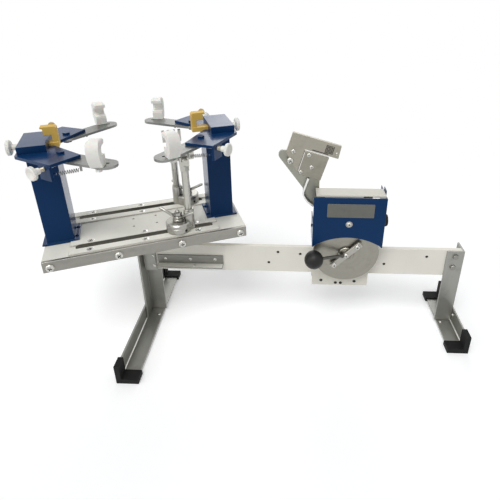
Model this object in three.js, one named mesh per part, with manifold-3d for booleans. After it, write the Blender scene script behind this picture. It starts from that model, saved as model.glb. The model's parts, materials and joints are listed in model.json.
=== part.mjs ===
// Racket stringing machine: a turntable that grips a racket frame, and a crank driven
// tension head that rides on a rail. Millimetres, +Z up, +X along the rail, -Y to the front.

import * as THREE from 'three';
import { mergeVertices } from 'three/addons/utils/BufferGeometryUtils.js';
import Module from 'manifold-3d';

const wasm = await Module();
wasm.setup();

// Fits that every sub-assembly shares
const seatGap = 0.3;
const turnGap = 0.3;
const cutOverrun = 2;

// Base: rail, angle legs, angle feet and their caps
const rail = { left: -10.7, right: 549.7, top: 158, height: 52, thickness: 8, holeRadius: 2.6 };
const railHoleShares = [[0.402, 0.365], [0.431, 0.79], [0.501, 0.73], [0.765, 0.4], [0.894, 0.73]];
const angle = { width: 30, wall: 3, fillet: 0.6 };
const foot = { leftFront: -158.2, leftBack: 115.2, rightFront: -77.2, rightBack: 67.2 };
const cap = { wall: 2.5, length: 20 };
const bracket = { left: 16, right: 133, low: 118.5, height: 19, depth: 14, wall: 2, holeRadius: 2.2 };
const bracketHoleShares = [[0.12, 0.6], [0.5, 0.6], [0.88, 0.6]];

// Turntable: bearing, spindle, slotted plate, bars and posts
const tableTurn = 21.53;
const bearing = { radius: 22, height: 21.7, left: -8, right: 12, cheekWall: 4, cheekDrop: 53, floor: 1.4 };
const spindle = { radius: 10, hubRadius: 15, hubHeight: 8.9, flangeRadius: 35, flangeWall: 6 };
const plate = { left: -154, right: 161, halfWidth: 68, wall: 6, holeX: 19, holeFront: 9, holeBack: 17 };
const plateHoleRadius = 2;
const slot = { reach: 108, offset: 48, width: 12 };
const strip = { reach: 116, width: 13, wall: 2.5 };
const sideBar = { height: 18.5, wall: 5 };
const post = { inner: 110.5, width: 40, depth: 50, wall: 2.5, height: 152.4 };
const postFlange = { rimX: 7, rimY: 3, wall: 3 };

// Heads on the posts
const headPlate = { wall: 4.5, end: 160, endHalf: 37, peakX: 110, peakY: 88, tipX: 73, tipY: 60, notch: 118 };
const headBox = { inner: 119, outer: 157, half: 34, height: 15.5, boreRadius: 3.3 };
const pocket = { depth: 26, mouth: 10, slack: 0.3, lift: 1.4 };
const ear = { along: 22.6, width: 22, drop: 20.5, wall: 4, pinRadius: 1.5, pinReach: 9, pinLow: 11.5 };
const pivot = { x: 100, y: 44, radius: 4, headRadius: 7, headWall: 4, capRadius: 6, capWall: 3 };

// Centre hooks and their screws
const hook = { halfWidth: 8, height: 7.6, length: 32, neck: 8, neckBack: 14, padRise: 18, padHeight: 13 };
const hookPad = { halfWidth: 6.5, front: 5, lip: 3, lipWall: 3, edge: 2.5 };
const leftPadAt = 119;
const rightPadAt = 107;
const hookScrew = { radius: 3, tipReach: 30, collarRadius: 4.5, discRadius: 11.5, discWall: 6 };
const leftKnobAt = 170;
const rightKnobAt = 167;

// Side arms, frame holders, arm screws and springs
const arm = { wall: 4, halfWidth: 14.5, endX: 38, endY: 94, holeRadius: 3, studRadius: 1.6, studDrop: 9.5 };
const armStud = { x: 74, y: 76 };
const holder = { x: 50, y: 102, turn: 16, width: 17, edge: 5, pegRadius: 2.6, pegHeadRadius: 5, pegHeadWall: 3.5 };
const holderOutline = [[-9, 0], [5, 0], [11, 12], [12, 22], [11.2, 28], [8.5, 33.5], [4, 37.2], [-2, 38.5],
  [-8, 37.6], [-13, 34.5], [-12.4, 29.4], [-5, 28.6], [-1, 27], [0.6, 23], [0.3, 18.5], [-2, 16], [-9.5, 15],
  [-10, 11.5]];
const armScrew = { radius: 3, tipGap: 0.7, coneLength: 3, coneRadius: 1.4, collarRadius: 4.6, collarAt: 9 };
const armKnob = { at: 17, radius: 10, wall: 5.5 };
const armSpring = { coilRadius: 2.6, wireRadius: 0.5, curls: 9, clearance: 0.6 };

// String clamps in the slots
const clamp = { radius: 20.5, height: 17, reach: 18, housingRadius: 8.5, housingHeight: 33, studRadius: 5.4 };
const clampNut = { radius: 11, wall: 5 };
const clampLock = { collarRadius: 9, collarWall: 4.5, neckRadius: 7.8, neckWall: 4, nutRadius: 7, nutWall: 6 };
const lockTip = { radius: 3.4, height: 4 };
const lockRod = { radius: 2, from: 6, to: 31, rise: 14, angles: [-40, 150] };
const clampPost = { radius: 6, ringRadius: 8.3, ringWall: 3, collarRadius: 8, collarWall: 9, collarDrop: 32.2 };
const clampHead = { halfX: 7.5, halfY: 6.5, blockHeight: 8, hingeRise: 5, topDrop: 4.7, wall: 3, gap: 0.8 };
const comb = { halfLength: 16, teeth: 4, depth: 7.5, share: 0.5 };
const clampHinge = { pinRadius: 1.5, knuckle: 2.7, half: 4, earWall: 3, leverReach: 18, leverWall: 3 };
const frontClampAt = 52;
const backClampAt = 81.5;

// Tension head: carriage, crank and pinion drive
const carriage = { left: 292, right: 390, low: 85, frontTop: 250, backTop: 258, wall: 4, front: -12, back: 16 };
const carriageHoles = [[0.163, 10, 2.6], [0.429, 5, 2.6], [0.52, 5, 2.6], [0.765, 9, 2.6]];
const guide = { low: 88, left: 300, right: 375, slack: 0.3, height: 13.7 };
const upperGuides = [[298, 330.5], [362, 386]];
const crankAt = { x: 346, z: 162.5 };
const crankDisc = { radius: 55.5, back: -22, wall: 3 };
const crankHub = { radius: 12, wall: 4 };
const crankBar = { half: 33, width: 9, wall: 4, lean: 45 };
const crankRod = { radius: 3, ballX: 291, ballY: -50, ballZ: 165.5 };
const ball = { radius: 15.5, rows: 16, columns: 24 };
const gear = { module: 2, teeth: 11, front: 4.8, width: 5, backlash: 0.22, shaftRadius: 4 };
const gearTooth = { tip: 1.7, root: 2.3, tipShare: 0.42, rootShare: 1.3, slope: 20 };
const rack = { left: 290, right: 482, gap: 0.3, wall: 6, foot: 11.5 };
const coverOverhang = { left: 4, right: 14 };
const cover = { front: -33, back: 17, low: 179, top: 271, wall: 1.5, notch: 220 };
const coverArch = { radius: 98, peak: 198 };
const coverLug = { low: 196, high: 210, front: 8 };
const coverTab = { front: -20, back: -4, rise: 8 };
const lid = { wall: 3.4, front: -31, back: -4 };

// Tension lever, gripper and the spring that sets the pull
const leverPivot = { x: 312, z: 240, radius: 3, reach: -7.4 };
const lever = { half: 2, endX: 239, endZ: 331, endRadius: 8, holeRadius: 3.3 };
const leverOutline = [[232.6, 326], [271, 273], [272, 262], [280, 249], [290, 241], [300, 228], [306, 206],
  [322, 204], [326, 218], [325, 244], [314, 253], [298, 262], [298, 288], [266, 322], [246.5, 333.6]];
const leverStrip = [[281, 291], [273.6, 267.4], [273.4, 262.4], [280.6, 250.2], [290, 242.6], [288.6, 240.2],
  [278.6, 248.2], [271, 261.4], [271, 268.2], [278, 292.4]];
const leverStripFront = -7;
const grip = { x: 253.5, z: 370.7, tilt: 16.4, front: -8.3, back: -2.3 };
const fixedJawOutline = [[0, 0], [79, 0], [81, -21.5], [26, -21.5], [26, -62], [-0.6, -35.3]];
const movingJawOutline = [[26.5, -24], [66.8, -24], [66.2, -65.3], [30.5, -65.3], [26.5, -61]];
const jawHoles = [[68, -6, 1.6], [76, -14, 1.9]];
const tension = { y: 0, z: 214, rodRadius: 3, rodLeft: 336, knobGap: 1, knobRadius: 11, knobWall: 10 };
const tensionLug = { wall: 4, front: -7.5, half: 9 };
const tensionSpring = { left: 328, coilRadius: 6, wireRadius: 1, curls: 12, clearance: 0.5 };

const round = 18;
const fine = 32;
const coarse = 10;
const hexagon = 6;
const curveSegments = 7;
const curlSteps = 8;
const curlSides = 5;

const finishes = {
  cream: { color: 0xe4dfd2, roughness: 0.45, metalness: 0 },
  blue: { color: 0x1b3c74, roughness: 0.28, metalness: 0.1 },
  aluminium: { color: 0xa9a8a3, roughness: 0.42, metalness: 0.85 },
  steel: { color: 0x9a9892, roughness: 0.35, metalness: 0.9 },
  nylon: { color: 0xeae5d8, roughness: 0.5, metalness: 0 },
  rubber: { color: 0x1d1d1f, roughness: 0.7, metalness: 0 },
  ball: { color: 0x161618, roughness: 0.2, metalness: 0 },
  pad: { color: 0xd7a541, roughness: 0.55, metalness: 0 },
};

// Levels and faces that follow from the sizes above
const railBack = rail.thickness / 2;
const railFront = -railBack;
const railLow = rail.top - rail.height;
const footLow = cap.wall + seatGap;
const legLow = footLow + angle.wall + seatGap;
const legLeft = rail.left - seatGap - angle.wall;
const legRight = rail.right + seatGap + angle.wall;
const legBack = railBack + seatGap + angle.wall;
const bearingLow = rail.top + seatGap;
const bearingTop = bearingLow + bearing.height;
const spindleHubLow = bearingTop + turnGap;
const spindleFlangeLow = spindleHubLow + spindle.hubHeight;
const plateLow = spindleFlangeLow + spindle.flangeWall + seatGap;
const plateTop = plateLow + plate.wall;
const stripTop = plateTop + strip.wall;
const postLow = plateTop + seatGap;
const postTop = postLow + post.height;
const headLow = postTop + seatGap;
const headTop = headLow + headPlate.wall;
const boxTop = headLow + headBox.height;
const armLow = postTop - arm.wall;
const hookLow = headLow + pocket.lift + pocket.slack;
const hookMid = hookLow + hook.height / 2;
const coverLeft = carriage.left - coverOverhang.left;
const coverRight = carriage.right + coverOverhang.right;
const knobLeft = coverRight + tension.knobGap;
const screwLevel = headLow - armScrew.radius - seatGap;
const padTop = boxTop + hook.padRise;

const machine = new THREE.Group();
const turntable = new THREE.Group();
turntable.rotation.z = THREE.MathUtils.degToRad(tableTurn);
machine.add(turntable);

// Name a geometry, give it its finish and hang it in a group
function addPiece(group, name, geometry, finish) {
  const material = new THREE.MeshStandardMaterial(finishes[finish]);
  const piece = new THREE.Mesh(geometry, material);
  piece.name = name;
  group.add(piece);
}

// Closed triangle meshes to solids and back, for cuts, joins and mirrored copies
function toSolid(geometry) {
  const plain = geometry.clone();
  plain.deleteAttribute('normal');
  plain.deleteAttribute('uv');
  const merged = mergeVertices(plain, 1e-4);
  const vertProperties = new Float32Array(merged.attributes.position.array);
  const triVerts = new Uint32Array(merged.index.array);
  return new wasm.Manifold(new wasm.Mesh({ numProp: 3, vertProperties, triVerts }));
}

function toGeometry(solid) {
  const { vertProperties, triVerts } = solid.getMesh();
  const geometry = new THREE.BufferGeometry();
  geometry.setAttribute('position', new THREE.BufferAttribute(new Float32Array(vertProperties), 3));
  geometry.setIndex(new THREE.BufferAttribute(new Uint32Array(triVerts), 1));
  geometry.computeVertexNormals();
  return geometry;
}

const join = (...parts) => toGeometry(parts.map(toSolid).reduce((whole, part) => whole.add(part)));
const overlap = (one, other) => toGeometry(toSolid(one).intersect(toSolid(other)));
const mirrored = (geometry, signX, signY) => toGeometry(toSolid(geometry).scale([signX, signY, 1]));

function cut(body, ...tools) {
  return toGeometry(tools.map(toSolid).reduce((rest, tool) => rest.subtract(tool), toSolid(body)));
}

// A box from its low and high corners
function box(low, high) {
  const size = high.map((value, axis) => value - low[axis]);
  const geometry = new THREE.BoxGeometry(...size);
  return geometry.translate(...size.map((value, axis) => low[axis] + value / 2));
}

const axisX = new THREE.Vector3(1, 0, 0);
const axisY = new THREE.Vector3(0, 1, 0);
const axisZ = new THREE.Vector3(0, 0, 1);

// A round bar, or a cone, between two points
function bar(radius, from, to, sides = round, endRadius = radius) {
  const run = new THREE.Vector3(...to).sub(new THREE.Vector3(...from));
  const geometry = new THREE.CylinderGeometry(endRadius, radius, run.length(), sides);
  geometry.translate(0, run.length() / 2, 0);
  const turn = new THREE.Quaternion().setFromUnitVectors(axisY, run.normalize());
  return geometry.applyQuaternion(turn).translate(...from);
}

const upright = (radius, x, y, low, high, sides = round) => bar(radius, [x, y, low], [x, y, high], sides);

// Outlines drawn in plan (x, y), from the front (x, z) or from the side (y, z)
const extrude = (shape, depth) => new THREE.ExtrudeGeometry(shape, { depth, bevelEnabled: false, curveSegments });
const planView = (shape, low, high) => extrude(shape, high - low).translate(0, 0, low);

function frontView(shape, front, back) {
  const turn = new THREE.Matrix4().makeBasis(axisX, axisZ, axisY.clone().negate());
  return extrude(shape, back - front).applyMatrix4(turn).translate(0, back, 0);
}

function sideView(shape, left, right) {
  const turn = new THREE.Matrix4().makeBasis(axisY, axisZ, axisX);
  return extrude(shape, right - left).applyMatrix4(turn).translate(left, 0, 0);
}

// An outline through points, always run anticlockwise so that holes can be cut in it
function outline(points) {
  const corners = points.map(([x, y]) => new THREE.Vector2(x, y));
  return new THREE.Shape(THREE.ShapeUtils.isClockWise(corners) ? corners.reverse() : corners);
}

const rectangle = (x0, x1, y0, y1) => outline([[x0, y0], [x1, y0], [x1, y1], [x0, y1]]);

function roundHole(x, y, radius) {
  const path = new THREE.Path();
  path.absarc(x, y, radius, 0, Math.PI * 2, true);
  return path;
}

// A bar with round ends between two points of the plan
function stadium(x0, y0, x1, y1, half) {
  const heading = Math.atan2(y1 - y0, x1 - x0);
  const shape = new THREE.Shape();
  shape.absarc(x1, y1, half, heading - Math.PI / 2, heading + Math.PI / 2);
  shape.absarc(x0, y0, half, heading + Math.PI / 2, heading + Math.PI * 1.5);
  return shape;
}

// An angle section: corner point, the way each flange runs, and how far it is grown
function angleSection(x, y, signX, signY, grow = 0) {
  const span = angle.width + 2 * grow;
  const wall = angle.wall + 2 * grow;
  const bend = Math.max(angle.fillet - grow, 0);
  const points = [[0, 0], [span, 0], [span, wall]];
  const steps = 4;
  for (let i = 0; i <= steps && bend > 0; i += 1) {
    const turn = (Math.PI / 2) * (i / steps);
    points.push([wall + bend * (1 - Math.sin(turn)), wall + bend * (1 - Math.cos(turn))]);
  }
  if (bend === 0) {
    points.push([wall, wall]);
  }
  points.push([wall, span], [0, span]);
  return outline(points.map(([u, v]) => [x + signX * (u - grow), y + signY * (v - grow)]));
}

// A point moved by steps along given ways
function stepped(point, ...moves) {
  const reached = point.clone();
  moves.forEach(([way, length]) => reached.addScaledVector(way, length));
  return reached;
}

// A helix of wire from one point to another, its ends running straight along the axis
class CoilPath extends THREE.Curve {
  constructor(from, to, radius, curls, straight) {
    super();
    this.start = new THREE.Vector3(...from);
    const run = new THREE.Vector3(...to).sub(this.start);
    this.reach = run.length();
    this.turn = new THREE.Quaternion().setFromUnitVectors(axisX, run.normalize());
    this.radius = radius;
    this.curls = curls;
    this.straightShare = straight / this.reach;
  }

  getPoint(share, target = new THREE.Vector3()) {
    const wound = (share - this.straightShare) / (1 - 2 * this.straightShare);
    const phase = Math.min(Math.max(wound, 0), 1) * this.curls * Math.PI * 2;
    target.set(share * this.reach, this.radius * Math.sin(phase), this.radius * Math.cos(phase));
    return target.applyQuaternion(this.turn).add(this.start);
  }
}

// Least distance of a wire to itself, at points at least half a curl apart
function reportSelfGap(name, points, wireRadius) {
  let least = Infinity;
  points.forEach((point, i) => {
    for (let j = i + curlSteps / 2; j < points.length; j += 1) {
      least = Math.min(least, point.distanceTo(points[j]) - 2 * wireRadius);
    }
  });
  console.log(`${name}: least gap of the wire to itself ${least.toFixed(2)} mm`);
}

function coil(name, from, to, radius, wireRadius, curls) {
  const extrudePath = new CoilPath(from, to, radius, curls, 2 * wireRadius);
  const steps = curls * curlSteps + 2;
  const section = [];
  for (let i = 0; i < curlSides; i += 1) {
    const turn = (i / curlSides) * Math.PI * 2;
    section.push([wireRadius * Math.cos(turn), wireRadius * Math.sin(turn)]);
  }
  reportSelfGap(name, extrudePath.getSpacedPoints(steps), wireRadius);
  return new THREE.ExtrudeGeometry(outline(section), { steps, bevelEnabled: false, extrudePath });
}

function buildRail() {
  const shape = rectangle(rail.left, rail.right, railLow, rail.top);
  for (const [alongShare, upShare] of railHoleShares) {
    const x = rail.left + (rail.right - rail.left) * alongShare;
    shape.holes.push(roundHole(x, railLow + rail.height * upShare, rail.holeRadius));
  }
  addPiece(machine, 'rail', frontView(shape, railFront, railBack), 'cream');
}

function buildLegsAndFeet() {
  const legs = [['left_leg', legLeft, legBack, 1, -1], ['right_leg', legRight, -legBack, -1, 1]];
  for (const [name, x, y, signX, signY] of legs) {
    addPiece(machine, name, planView(angleSection(x, y, signX, signY), legLow, rail.top), 'aluminium');
  }
  const feet = [
    ['left', legLeft - seatGap - angle.wall, 1, foot.leftFront, foot.leftBack],
    ['right', legRight + seatGap + angle.wall, -1, foot.rightFront, foot.rightBack],
  ];
  for (const [side, x, signX, front, back] of feet) {
    addPiece(machine, `${side}_foot`, frontView(angleSection(x, footLow, signX, 1), front, back), 'aluminium');
    addPiece(machine, `${side}_front_cap`, capBody(x, signX, front, 1), 'rubber');
    addPiece(machine, `${side}_back_cap`, capBody(x, signX, back, -1), 'rubber');
  }
}

// A cap over a foot's end; inward is the way from the cap to the middle of the foot
function capBody(x, signX, footEnd, inward) {
  const ends = [footEnd - inward * (seatGap + cap.wall), footEnd - inward * (seatGap + cap.wall - cap.length)];
  const pocketEnds = [footEnd - inward * seatGap, ends[1] + inward * cutOverrun];
  const outer = angleSection(x, footLow, signX, 1, seatGap + cap.wall);
  const inner = angleSection(x, footLow, signX, 1, seatGap);
  const shell = frontView(outer, Math.min(...ends), Math.max(...ends));
  return cut(shell, frontView(inner, Math.min(...pocketEnds), Math.max(...pocketEnds)));
}

function buildTableBracket() {
  const back = railFront - seatGap;
  const web = rectangle(bracket.left, bracket.right, bracket.low, bracket.low + bracket.height);
  for (const [alongShare, upShare] of bracketHoleShares) {
    const x = bracket.left + (bracket.right - bracket.left) * alongShare;
    web.holes.push(roundHole(x, bracket.low + bracket.height * upShare, bracket.holeRadius));
  }
  const lip = box([bracket.left, back - bracket.depth, bracket.low], [bracket.right, back, bracket.low + bracket.wall]);
  addPiece(machine, 'table_bracket', join(frontView(web, back - bracket.wall, back), lip), 'aluminium');
}

function buildBearing() {
  const housing = upright(bearing.radius, 0, 0, bearingLow, bearingTop, fine);
  const cheeks = [railFront - seatGap - bearing.cheekWall, legBack + seatGap].map((front) => {
    const low = [bearing.left, front, rail.top - bearing.cheekDrop];
    return box(low, [bearing.right, front + bearing.cheekWall, bearingLow + bearing.height / 2]);
  });
  const bore = upright(spindle.radius + turnGap, 0, 0, bearingLow + bearing.floor, bearingTop + cutOverrun);
  addPiece(machine, 'table_bearing', cut(join(housing, ...cheeks), bore), 'aluminium');
}

function buildSpindle() {
  const tip = bearingLow + bearing.floor + turnGap;
  const top = spindleFlangeLow + spindle.flangeWall;
  const profile = [[0, tip], [spindle.radius, tip], [spindle.radius, spindleHubLow],
    [spindle.hubRadius, spindleHubLow], [spindle.hubRadius, spindleFlangeLow],
    [spindle.flangeRadius, spindleFlangeLow], [spindle.flangeRadius, top], [0, top]];
  const lathe = new THREE.LatheGeometry(profile.map(([r, z]) => new THREE.Vector2(r, z)), fine);
  addPiece(turntable, 'table_spindle', lathe.rotateX(Math.PI / 2), 'steel');
}

function buildTablePlate() {
  const sheet = rectangle(plate.left, plate.right, -plate.halfWidth, plate.halfWidth);
  for (const y of [-plate.holeFront, plate.holeBack]) {
    sheet.holes.push(roundHole(plate.holeX, y, plateHoleRadius), roundHole(-plate.holeX, y, plateHoleRadius));
  }
  const strips = [-1, 1].flatMap((side) => [-1, 1].map((edge) => {
    const near = side * slot.offset + edge * slot.width / 2;
    const far = near + edge * strip.width;
    const low = [-strip.reach, Math.min(near, far), plateTop - plate.wall / 2];
    return box(low, [strip.reach, Math.max(near, far), stripTop]);
  }));
  const slots = [-1, 1].map((side) => {
    const end = slot.reach - slot.width / 2;
    const shape = stadium(-end, side * slot.offset, end, side * slot.offset, slot.width / 2);
    return planView(shape, plateLow - cutOverrun, stripTop + cutOverrun);
  });
  addPiece(turntable, 'table_plate', cut(join(planView(sheet, plateLow, plateTop), ...strips), ...slots), 'cream');
  for (const [name, side] of [['front_bar', -1], ['back_bar', 1]]) {
    const near = side * (plate.halfWidth + seatGap);
    const far = near + side * sideBar.wall;
    const low = [plate.left, Math.min(near, far), plateTop - sideBar.height];
    addPiece(turntable, name, box(low, [plate.right, Math.max(near, far), plateTop]), 'steel');
  }
}

function buildPost(name, side) {
  const outer = post.inner + post.width;
  const halfDepth = post.depth / 2;
  const { rimX, rimY, wall } = postFlange;
  const bore = rectangle(post.inner + post.wall, outer - post.wall, post.wall - halfDepth, halfDepth - post.wall);
  const tube = rectangle(post.inner, outer, -halfDepth, halfDepth);
  const flange = rectangle(post.inner - rimX, outer + rimX, -halfDepth - rimY, halfDepth + rimY);
  const body = join(planView(tube, postLow, postTop), planView(flange, postLow, postLow + wall));
  const hollow = planView(bore, postLow - cutOverrun, postTop + cutOverrun);
  addPiece(turntable, name, mirrored(cut(body, hollow), side, 1), 'blue');
}

// The slanted outer edge of a head: its middle, its outward normal and the way to the peak
function headEdge() {
  const along = new THREE.Vector3(headPlate.peakX - headPlate.end, headPlate.peakY - headPlate.endHalf, 0);
  const middle = new THREE.Vector3(headPlate.end, headPlate.endHalf, 0).addScaledVector(along, 0.5);
  along.normalize();
  return { middle, along, outward: new THREE.Vector3(along.y, -along.x, 0) };
}

// The middle of a head's ear, at the level of the arm screw
function earCentre() {
  const { middle, along, outward } = headEdge();
  return stepped(middle, [along, ear.along], [outward, -ear.wall / 2]).setZ(screwLevel);
}

function pinTip() {
  const root = stepped(earCentre(), [headEdge().along, ear.width / 4]);
  return root.setX(root.x - ear.pinReach).setZ(postTop - ear.pinLow);
}

function earWithPin() {
  const { along, outward } = headEdge();
  const corners = [[1, 1], [-1, 1], [-1, -1], [1, -1]].map(([a, b]) => {
    const corner = stepped(earCentre(), [along, a * ear.width / 2], [outward, b * ear.wall / 2]);
    return [corner.x, corner.y];
  });
  const tab = planView(outline(corners), headLow - ear.drop, headLow + headPlate.wall / 2);
  const tip = pinTip();
  return join(tab, bar(ear.pinRadius, [tip.x + ear.pinReach, tip.y, tip.z], tip.toArray(), coarse));
}

function screwBore() {
  const { outward } = headEdge();
  const ends = [-ear.wall, ear.wall].map((reach) => stepped(earCentre(), [outward, reach]).toArray());
  return bar(armScrew.radius + turnGap, ...ends);
}

// The bolt that an arm turns on, under the head, with its cap on top
function pivotBolt() {
  const low = armLow - seatGap;
  return join(upright(pivot.radius, pivot.x, pivot.y, low - pivot.headWall / 2, headTop),
    upright(pivot.headRadius, pivot.x, pivot.y, low - pivot.headWall, low, hexagon),
    upright(pivot.capRadius, pivot.x, pivot.y, headTop - seatGap, headTop + pivot.capWall, hexagon));
}

function buildHead(name, side) {
  const h = headPlate;
  const shape = outline([[h.end, -h.endHalf], [h.end, h.endHalf], [h.peakX, h.peakY], [h.tipX, h.tipY],
    [h.notch, 0], [h.tipX, -h.tipY], [h.peakX, -h.peakY]]);
  const sheet = planView(shape, headLow, headTop);
  const raised = box([headBox.inner, -headBox.half, headLow], [headBox.outer, headBox.half, boxTop]);
  const corner = join(earWithPin(), pivotBolt());
  const room = hook.halfWidth + pocket.slack;
  const inside = box([headBox.inner - pocket.mouth, -room, hookLow - pocket.slack],
    [headBox.inner + pocket.depth, room, hookLow + hook.height + pocket.slack]);
  const bore = bar(headBox.boreRadius, [headBox.inner + pocket.depth / 2, 0, hookMid],
    [headPlate.end + cutOverrun, 0, hookMid]);
  const body = cut(join(sheet, raised, corner, mirrored(corner, 1, -1)), inside, bore,
    screwBore(), mirrored(screwBore(), 1, -1));
  addPiece(turntable, name, mirrored(body, side, 1), 'blue');
}

// A hook slides in its head and pulls the frame's end outward with a soft pad
function buildHook(name, side, padAt) {
  const neckInner = padAt - hook.neckBack;
  const sliderEnd = leftPadAt - hook.neckBack + hook.length;
  const padLow = padTop - hook.padHeight;
  const slider = box([neckInner, -hook.halfWidth, hookLow], [sliderEnd, hook.halfWidth, hookLow + hook.height]);
  const neck = box([neckInner, -hookPad.halfWidth, hookLow],
    [neckInner + hook.neck, hookPad.halfWidth, padLow + seatGap]);
  const front = padAt + hookPad.front;
  const lipLow = padTop - hookPad.lipWall;
  const pad = frontView(outline([[neckInner, padLow], [front, padLow], [front, lipLow],
    [front + hookPad.lip, lipLow], [front + hookPad.lip, padTop],
    [neckInner + hookPad.edge, padTop], [neckInner, padTop - hookPad.edge]]),
  -hookPad.halfWidth, hookPad.halfWidth);
  const thread = bar(hookScrew.radius + turnGap, [sliderEnd - hook.length / 2, 0, hookMid],
    [sliderEnd + cutOverrun, 0, hookMid]);
  addPiece(turntable, name, mirrored(cut(join(slider, neck, pad), thread), side, 1), 'pad');
}

function buildHookScrew(name, side, knobAt) {
  const at = (x) => [x, 0, hookMid];
  const shaft = bar(hookScrew.radius, at(headBox.outer - hookScrew.tipReach), at(knobAt));
  const collar = bar(hookScrew.collarRadius, at(headPlate.end + turnGap), at(knobAt));
  const disc = bar(hookScrew.discRadius, at(knobAt - seatGap), at(knobAt + hookScrew.discWall), fine);
  addPiece(turntable, name, mirrored(join(shaft, collar, disc), side, 1), 'nylon');
}

// The peg that holds a frame holder down stands behind its contact face
function holderPeg() {
  const turn = THREE.MathUtils.degToRad(holder.turn);
  return { x: holder.x - holder.pegRadius * Math.sin(turn), y: holder.y - holder.pegRadius * Math.cos(turn) };
}

function armBody() {
  const peg = holderPeg();
  const shape = stadium(pivot.x, pivot.y, arm.endX, arm.endY, arm.halfWidth);
  const stud = upright(arm.studRadius, armStud.x, armStud.y, armLow - arm.studDrop, armLow + arm.wall / 2, coarse);
  const holes = [[pivot.x, pivot.y, pivot.radius + turnGap], [arm.endX, arm.endY, arm.holeRadius],
    [peg.x, peg.y, holder.pegRadius + seatGap]];
  return cut(join(planView(shape, armLow, postTop), stud), ...holes.map(([x, y, radius]) => {
    return upright(radius, x, y, armLow - cutOverrun, postTop + cutOverrun);
  }));
}

function holderBody() {
  const half = holder.width / 2;
  const top = headLow + Math.max(...holderOutline.map(([, z]) => z));
  const reach = holder.width;
  const side = sideView(outline(holderOutline.map(([d, z]) => [d, z + headLow])), -half, half);
  const front = new THREE.Shape();
  front.moveTo(-half, headLow - cutOverrun);
  front.lineTo(half, headLow - cutOverrun);
  front.absarc(half - holder.edge, top - holder.edge, holder.edge, 0, Math.PI / 2);
  front.absarc(holder.edge - half, top - holder.edge, holder.edge, Math.PI / 2, Math.PI);
  const block = overlap(side, frontView(front, -reach, reach));
  block.rotateZ(THREE.MathUtils.degToRad(-holder.turn)).translate(holder.x, holder.y, 0);
  const peg = holderPeg();
  const pegTop = armLow - seatGap;
  return join(block, upright(holder.pegRadius, peg.x, peg.y, pegTop - seatGap, headLow + holder.edge),
    upright(holder.pegHeadRadius, peg.x, peg.y, pegTop - holder.pegHeadWall, pegTop, hexagon));
}

// How far the arm's outer edge lies from the ear, along the screw
function armEdgeReach() {
  const edgeWay = new THREE.Vector3(arm.endY - pivot.y, pivot.x - arm.endX, 0).normalize();
  const fromPivot = earCentre().sub(new THREE.Vector3(pivot.x, pivot.y, screwLevel));
  return (fromPivot.dot(edgeWay) - arm.halfWidth) / headEdge().outward.dot(edgeWay);
}

function armScrewBody() {
  const { outward } = headEdge();
  const at = (distance) => stepped(earCentre(), [outward, distance]).toArray();
  const tip = armScrew.tipGap - armEdgeReach();
  const coneEnd = tip + armScrew.coneLength;
  const cone = bar(armScrew.coneRadius, at(tip), at(coneEnd), round, armScrew.radius);
  return join(cone, bar(armScrew.radius, at(coneEnd), at(armKnob.at)),
    bar(armScrew.collarRadius, at(armScrew.collarAt), at(armKnob.at)),
    bar(armKnob.radius, at(armKnob.at - seatGap), at(armKnob.at + armKnob.wall), fine));
}

function armSpringBody(name) {
  const from = pinTip();
  const to = new THREE.Vector3(armStud.x, armStud.y, from.z);
  const way = to.clone().sub(from).normalize();
  const start = stepped(from, [way, armSpring.clearance + ear.pinRadius / 2]);
  const end = stepped(to, [way, -armSpring.clearance - arm.studRadius]);
  return coil(name, start.toArray(), end.toArray(), armSpring.coilRadius, armSpring.wireRadius, armSpring.curls);
}

function buildArms() {
  for (const [side, signX] of [['left', -1], ['right', 1]]) {
    for (const [end, signY] of [['front', -1], ['back', 1]]) {
      const name = `${side}_${end}`;
      addPiece(turntable, `${name}_arm`, mirrored(armBody(), signX, signY), 'steel');
      addPiece(turntable, `${name}_holder`, mirrored(holderBody(), signX, signY), 'nylon');
      addPiece(turntable, `${name}_arm_screw`, mirrored(armScrewBody(), signX, signY), 'nylon');
      const spring = armSpringBody(`${name}_arm_spring`);
      addPiece(turntable, `${name}_arm_spring`, mirrored(spring, signX, signY), 'steel');
    }
  }
}

// Levels of a string clamp, from its foot on the strips upward
const clampLow = stripTop + seatGap;
const clampTop = clampLow + clamp.height;
const housingTop = clampLow + clamp.housingHeight;
const lockLow = clampTop + turnGap;
const lockNeckTop = lockLow + clampLock.collarWall + clampLock.neckWall;
const clampHeadLow = armLow - clampPost.collarDrop;
const clampHeadTop = clampHeadLow + clampHead.blockHeight;
const combTop = armLow - clampHead.topDrop;
const hingeLevel = clampHeadTop + clampHead.hingeRise;
const hingeY = -clampHead.gap - clampHead.wall / 2;

function clampBaseBody() {
  const nutTop = plateLow - seatGap;
  const disc = upright(clamp.radius, 0, 0, clampLow, clampTop, fine);
  const housing = upright(clamp.housingRadius, clamp.reach, 0, clampLow, housingTop);
  const stud = upright(clamp.studRadius, 0, 0, nutTop - clampNut.wall / 2, clampLow + cutOverrun);
  const nut = upright(clampNut.radius, 0, 0, nutTop - clampNut.wall, nutTop);
  const bore = upright(clampPost.radius + turnGap, clamp.reach, 0, clampTop, housingTop + cutOverrun);
  return cut(join(disc, housing, stud, nut), bore);
}

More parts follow.
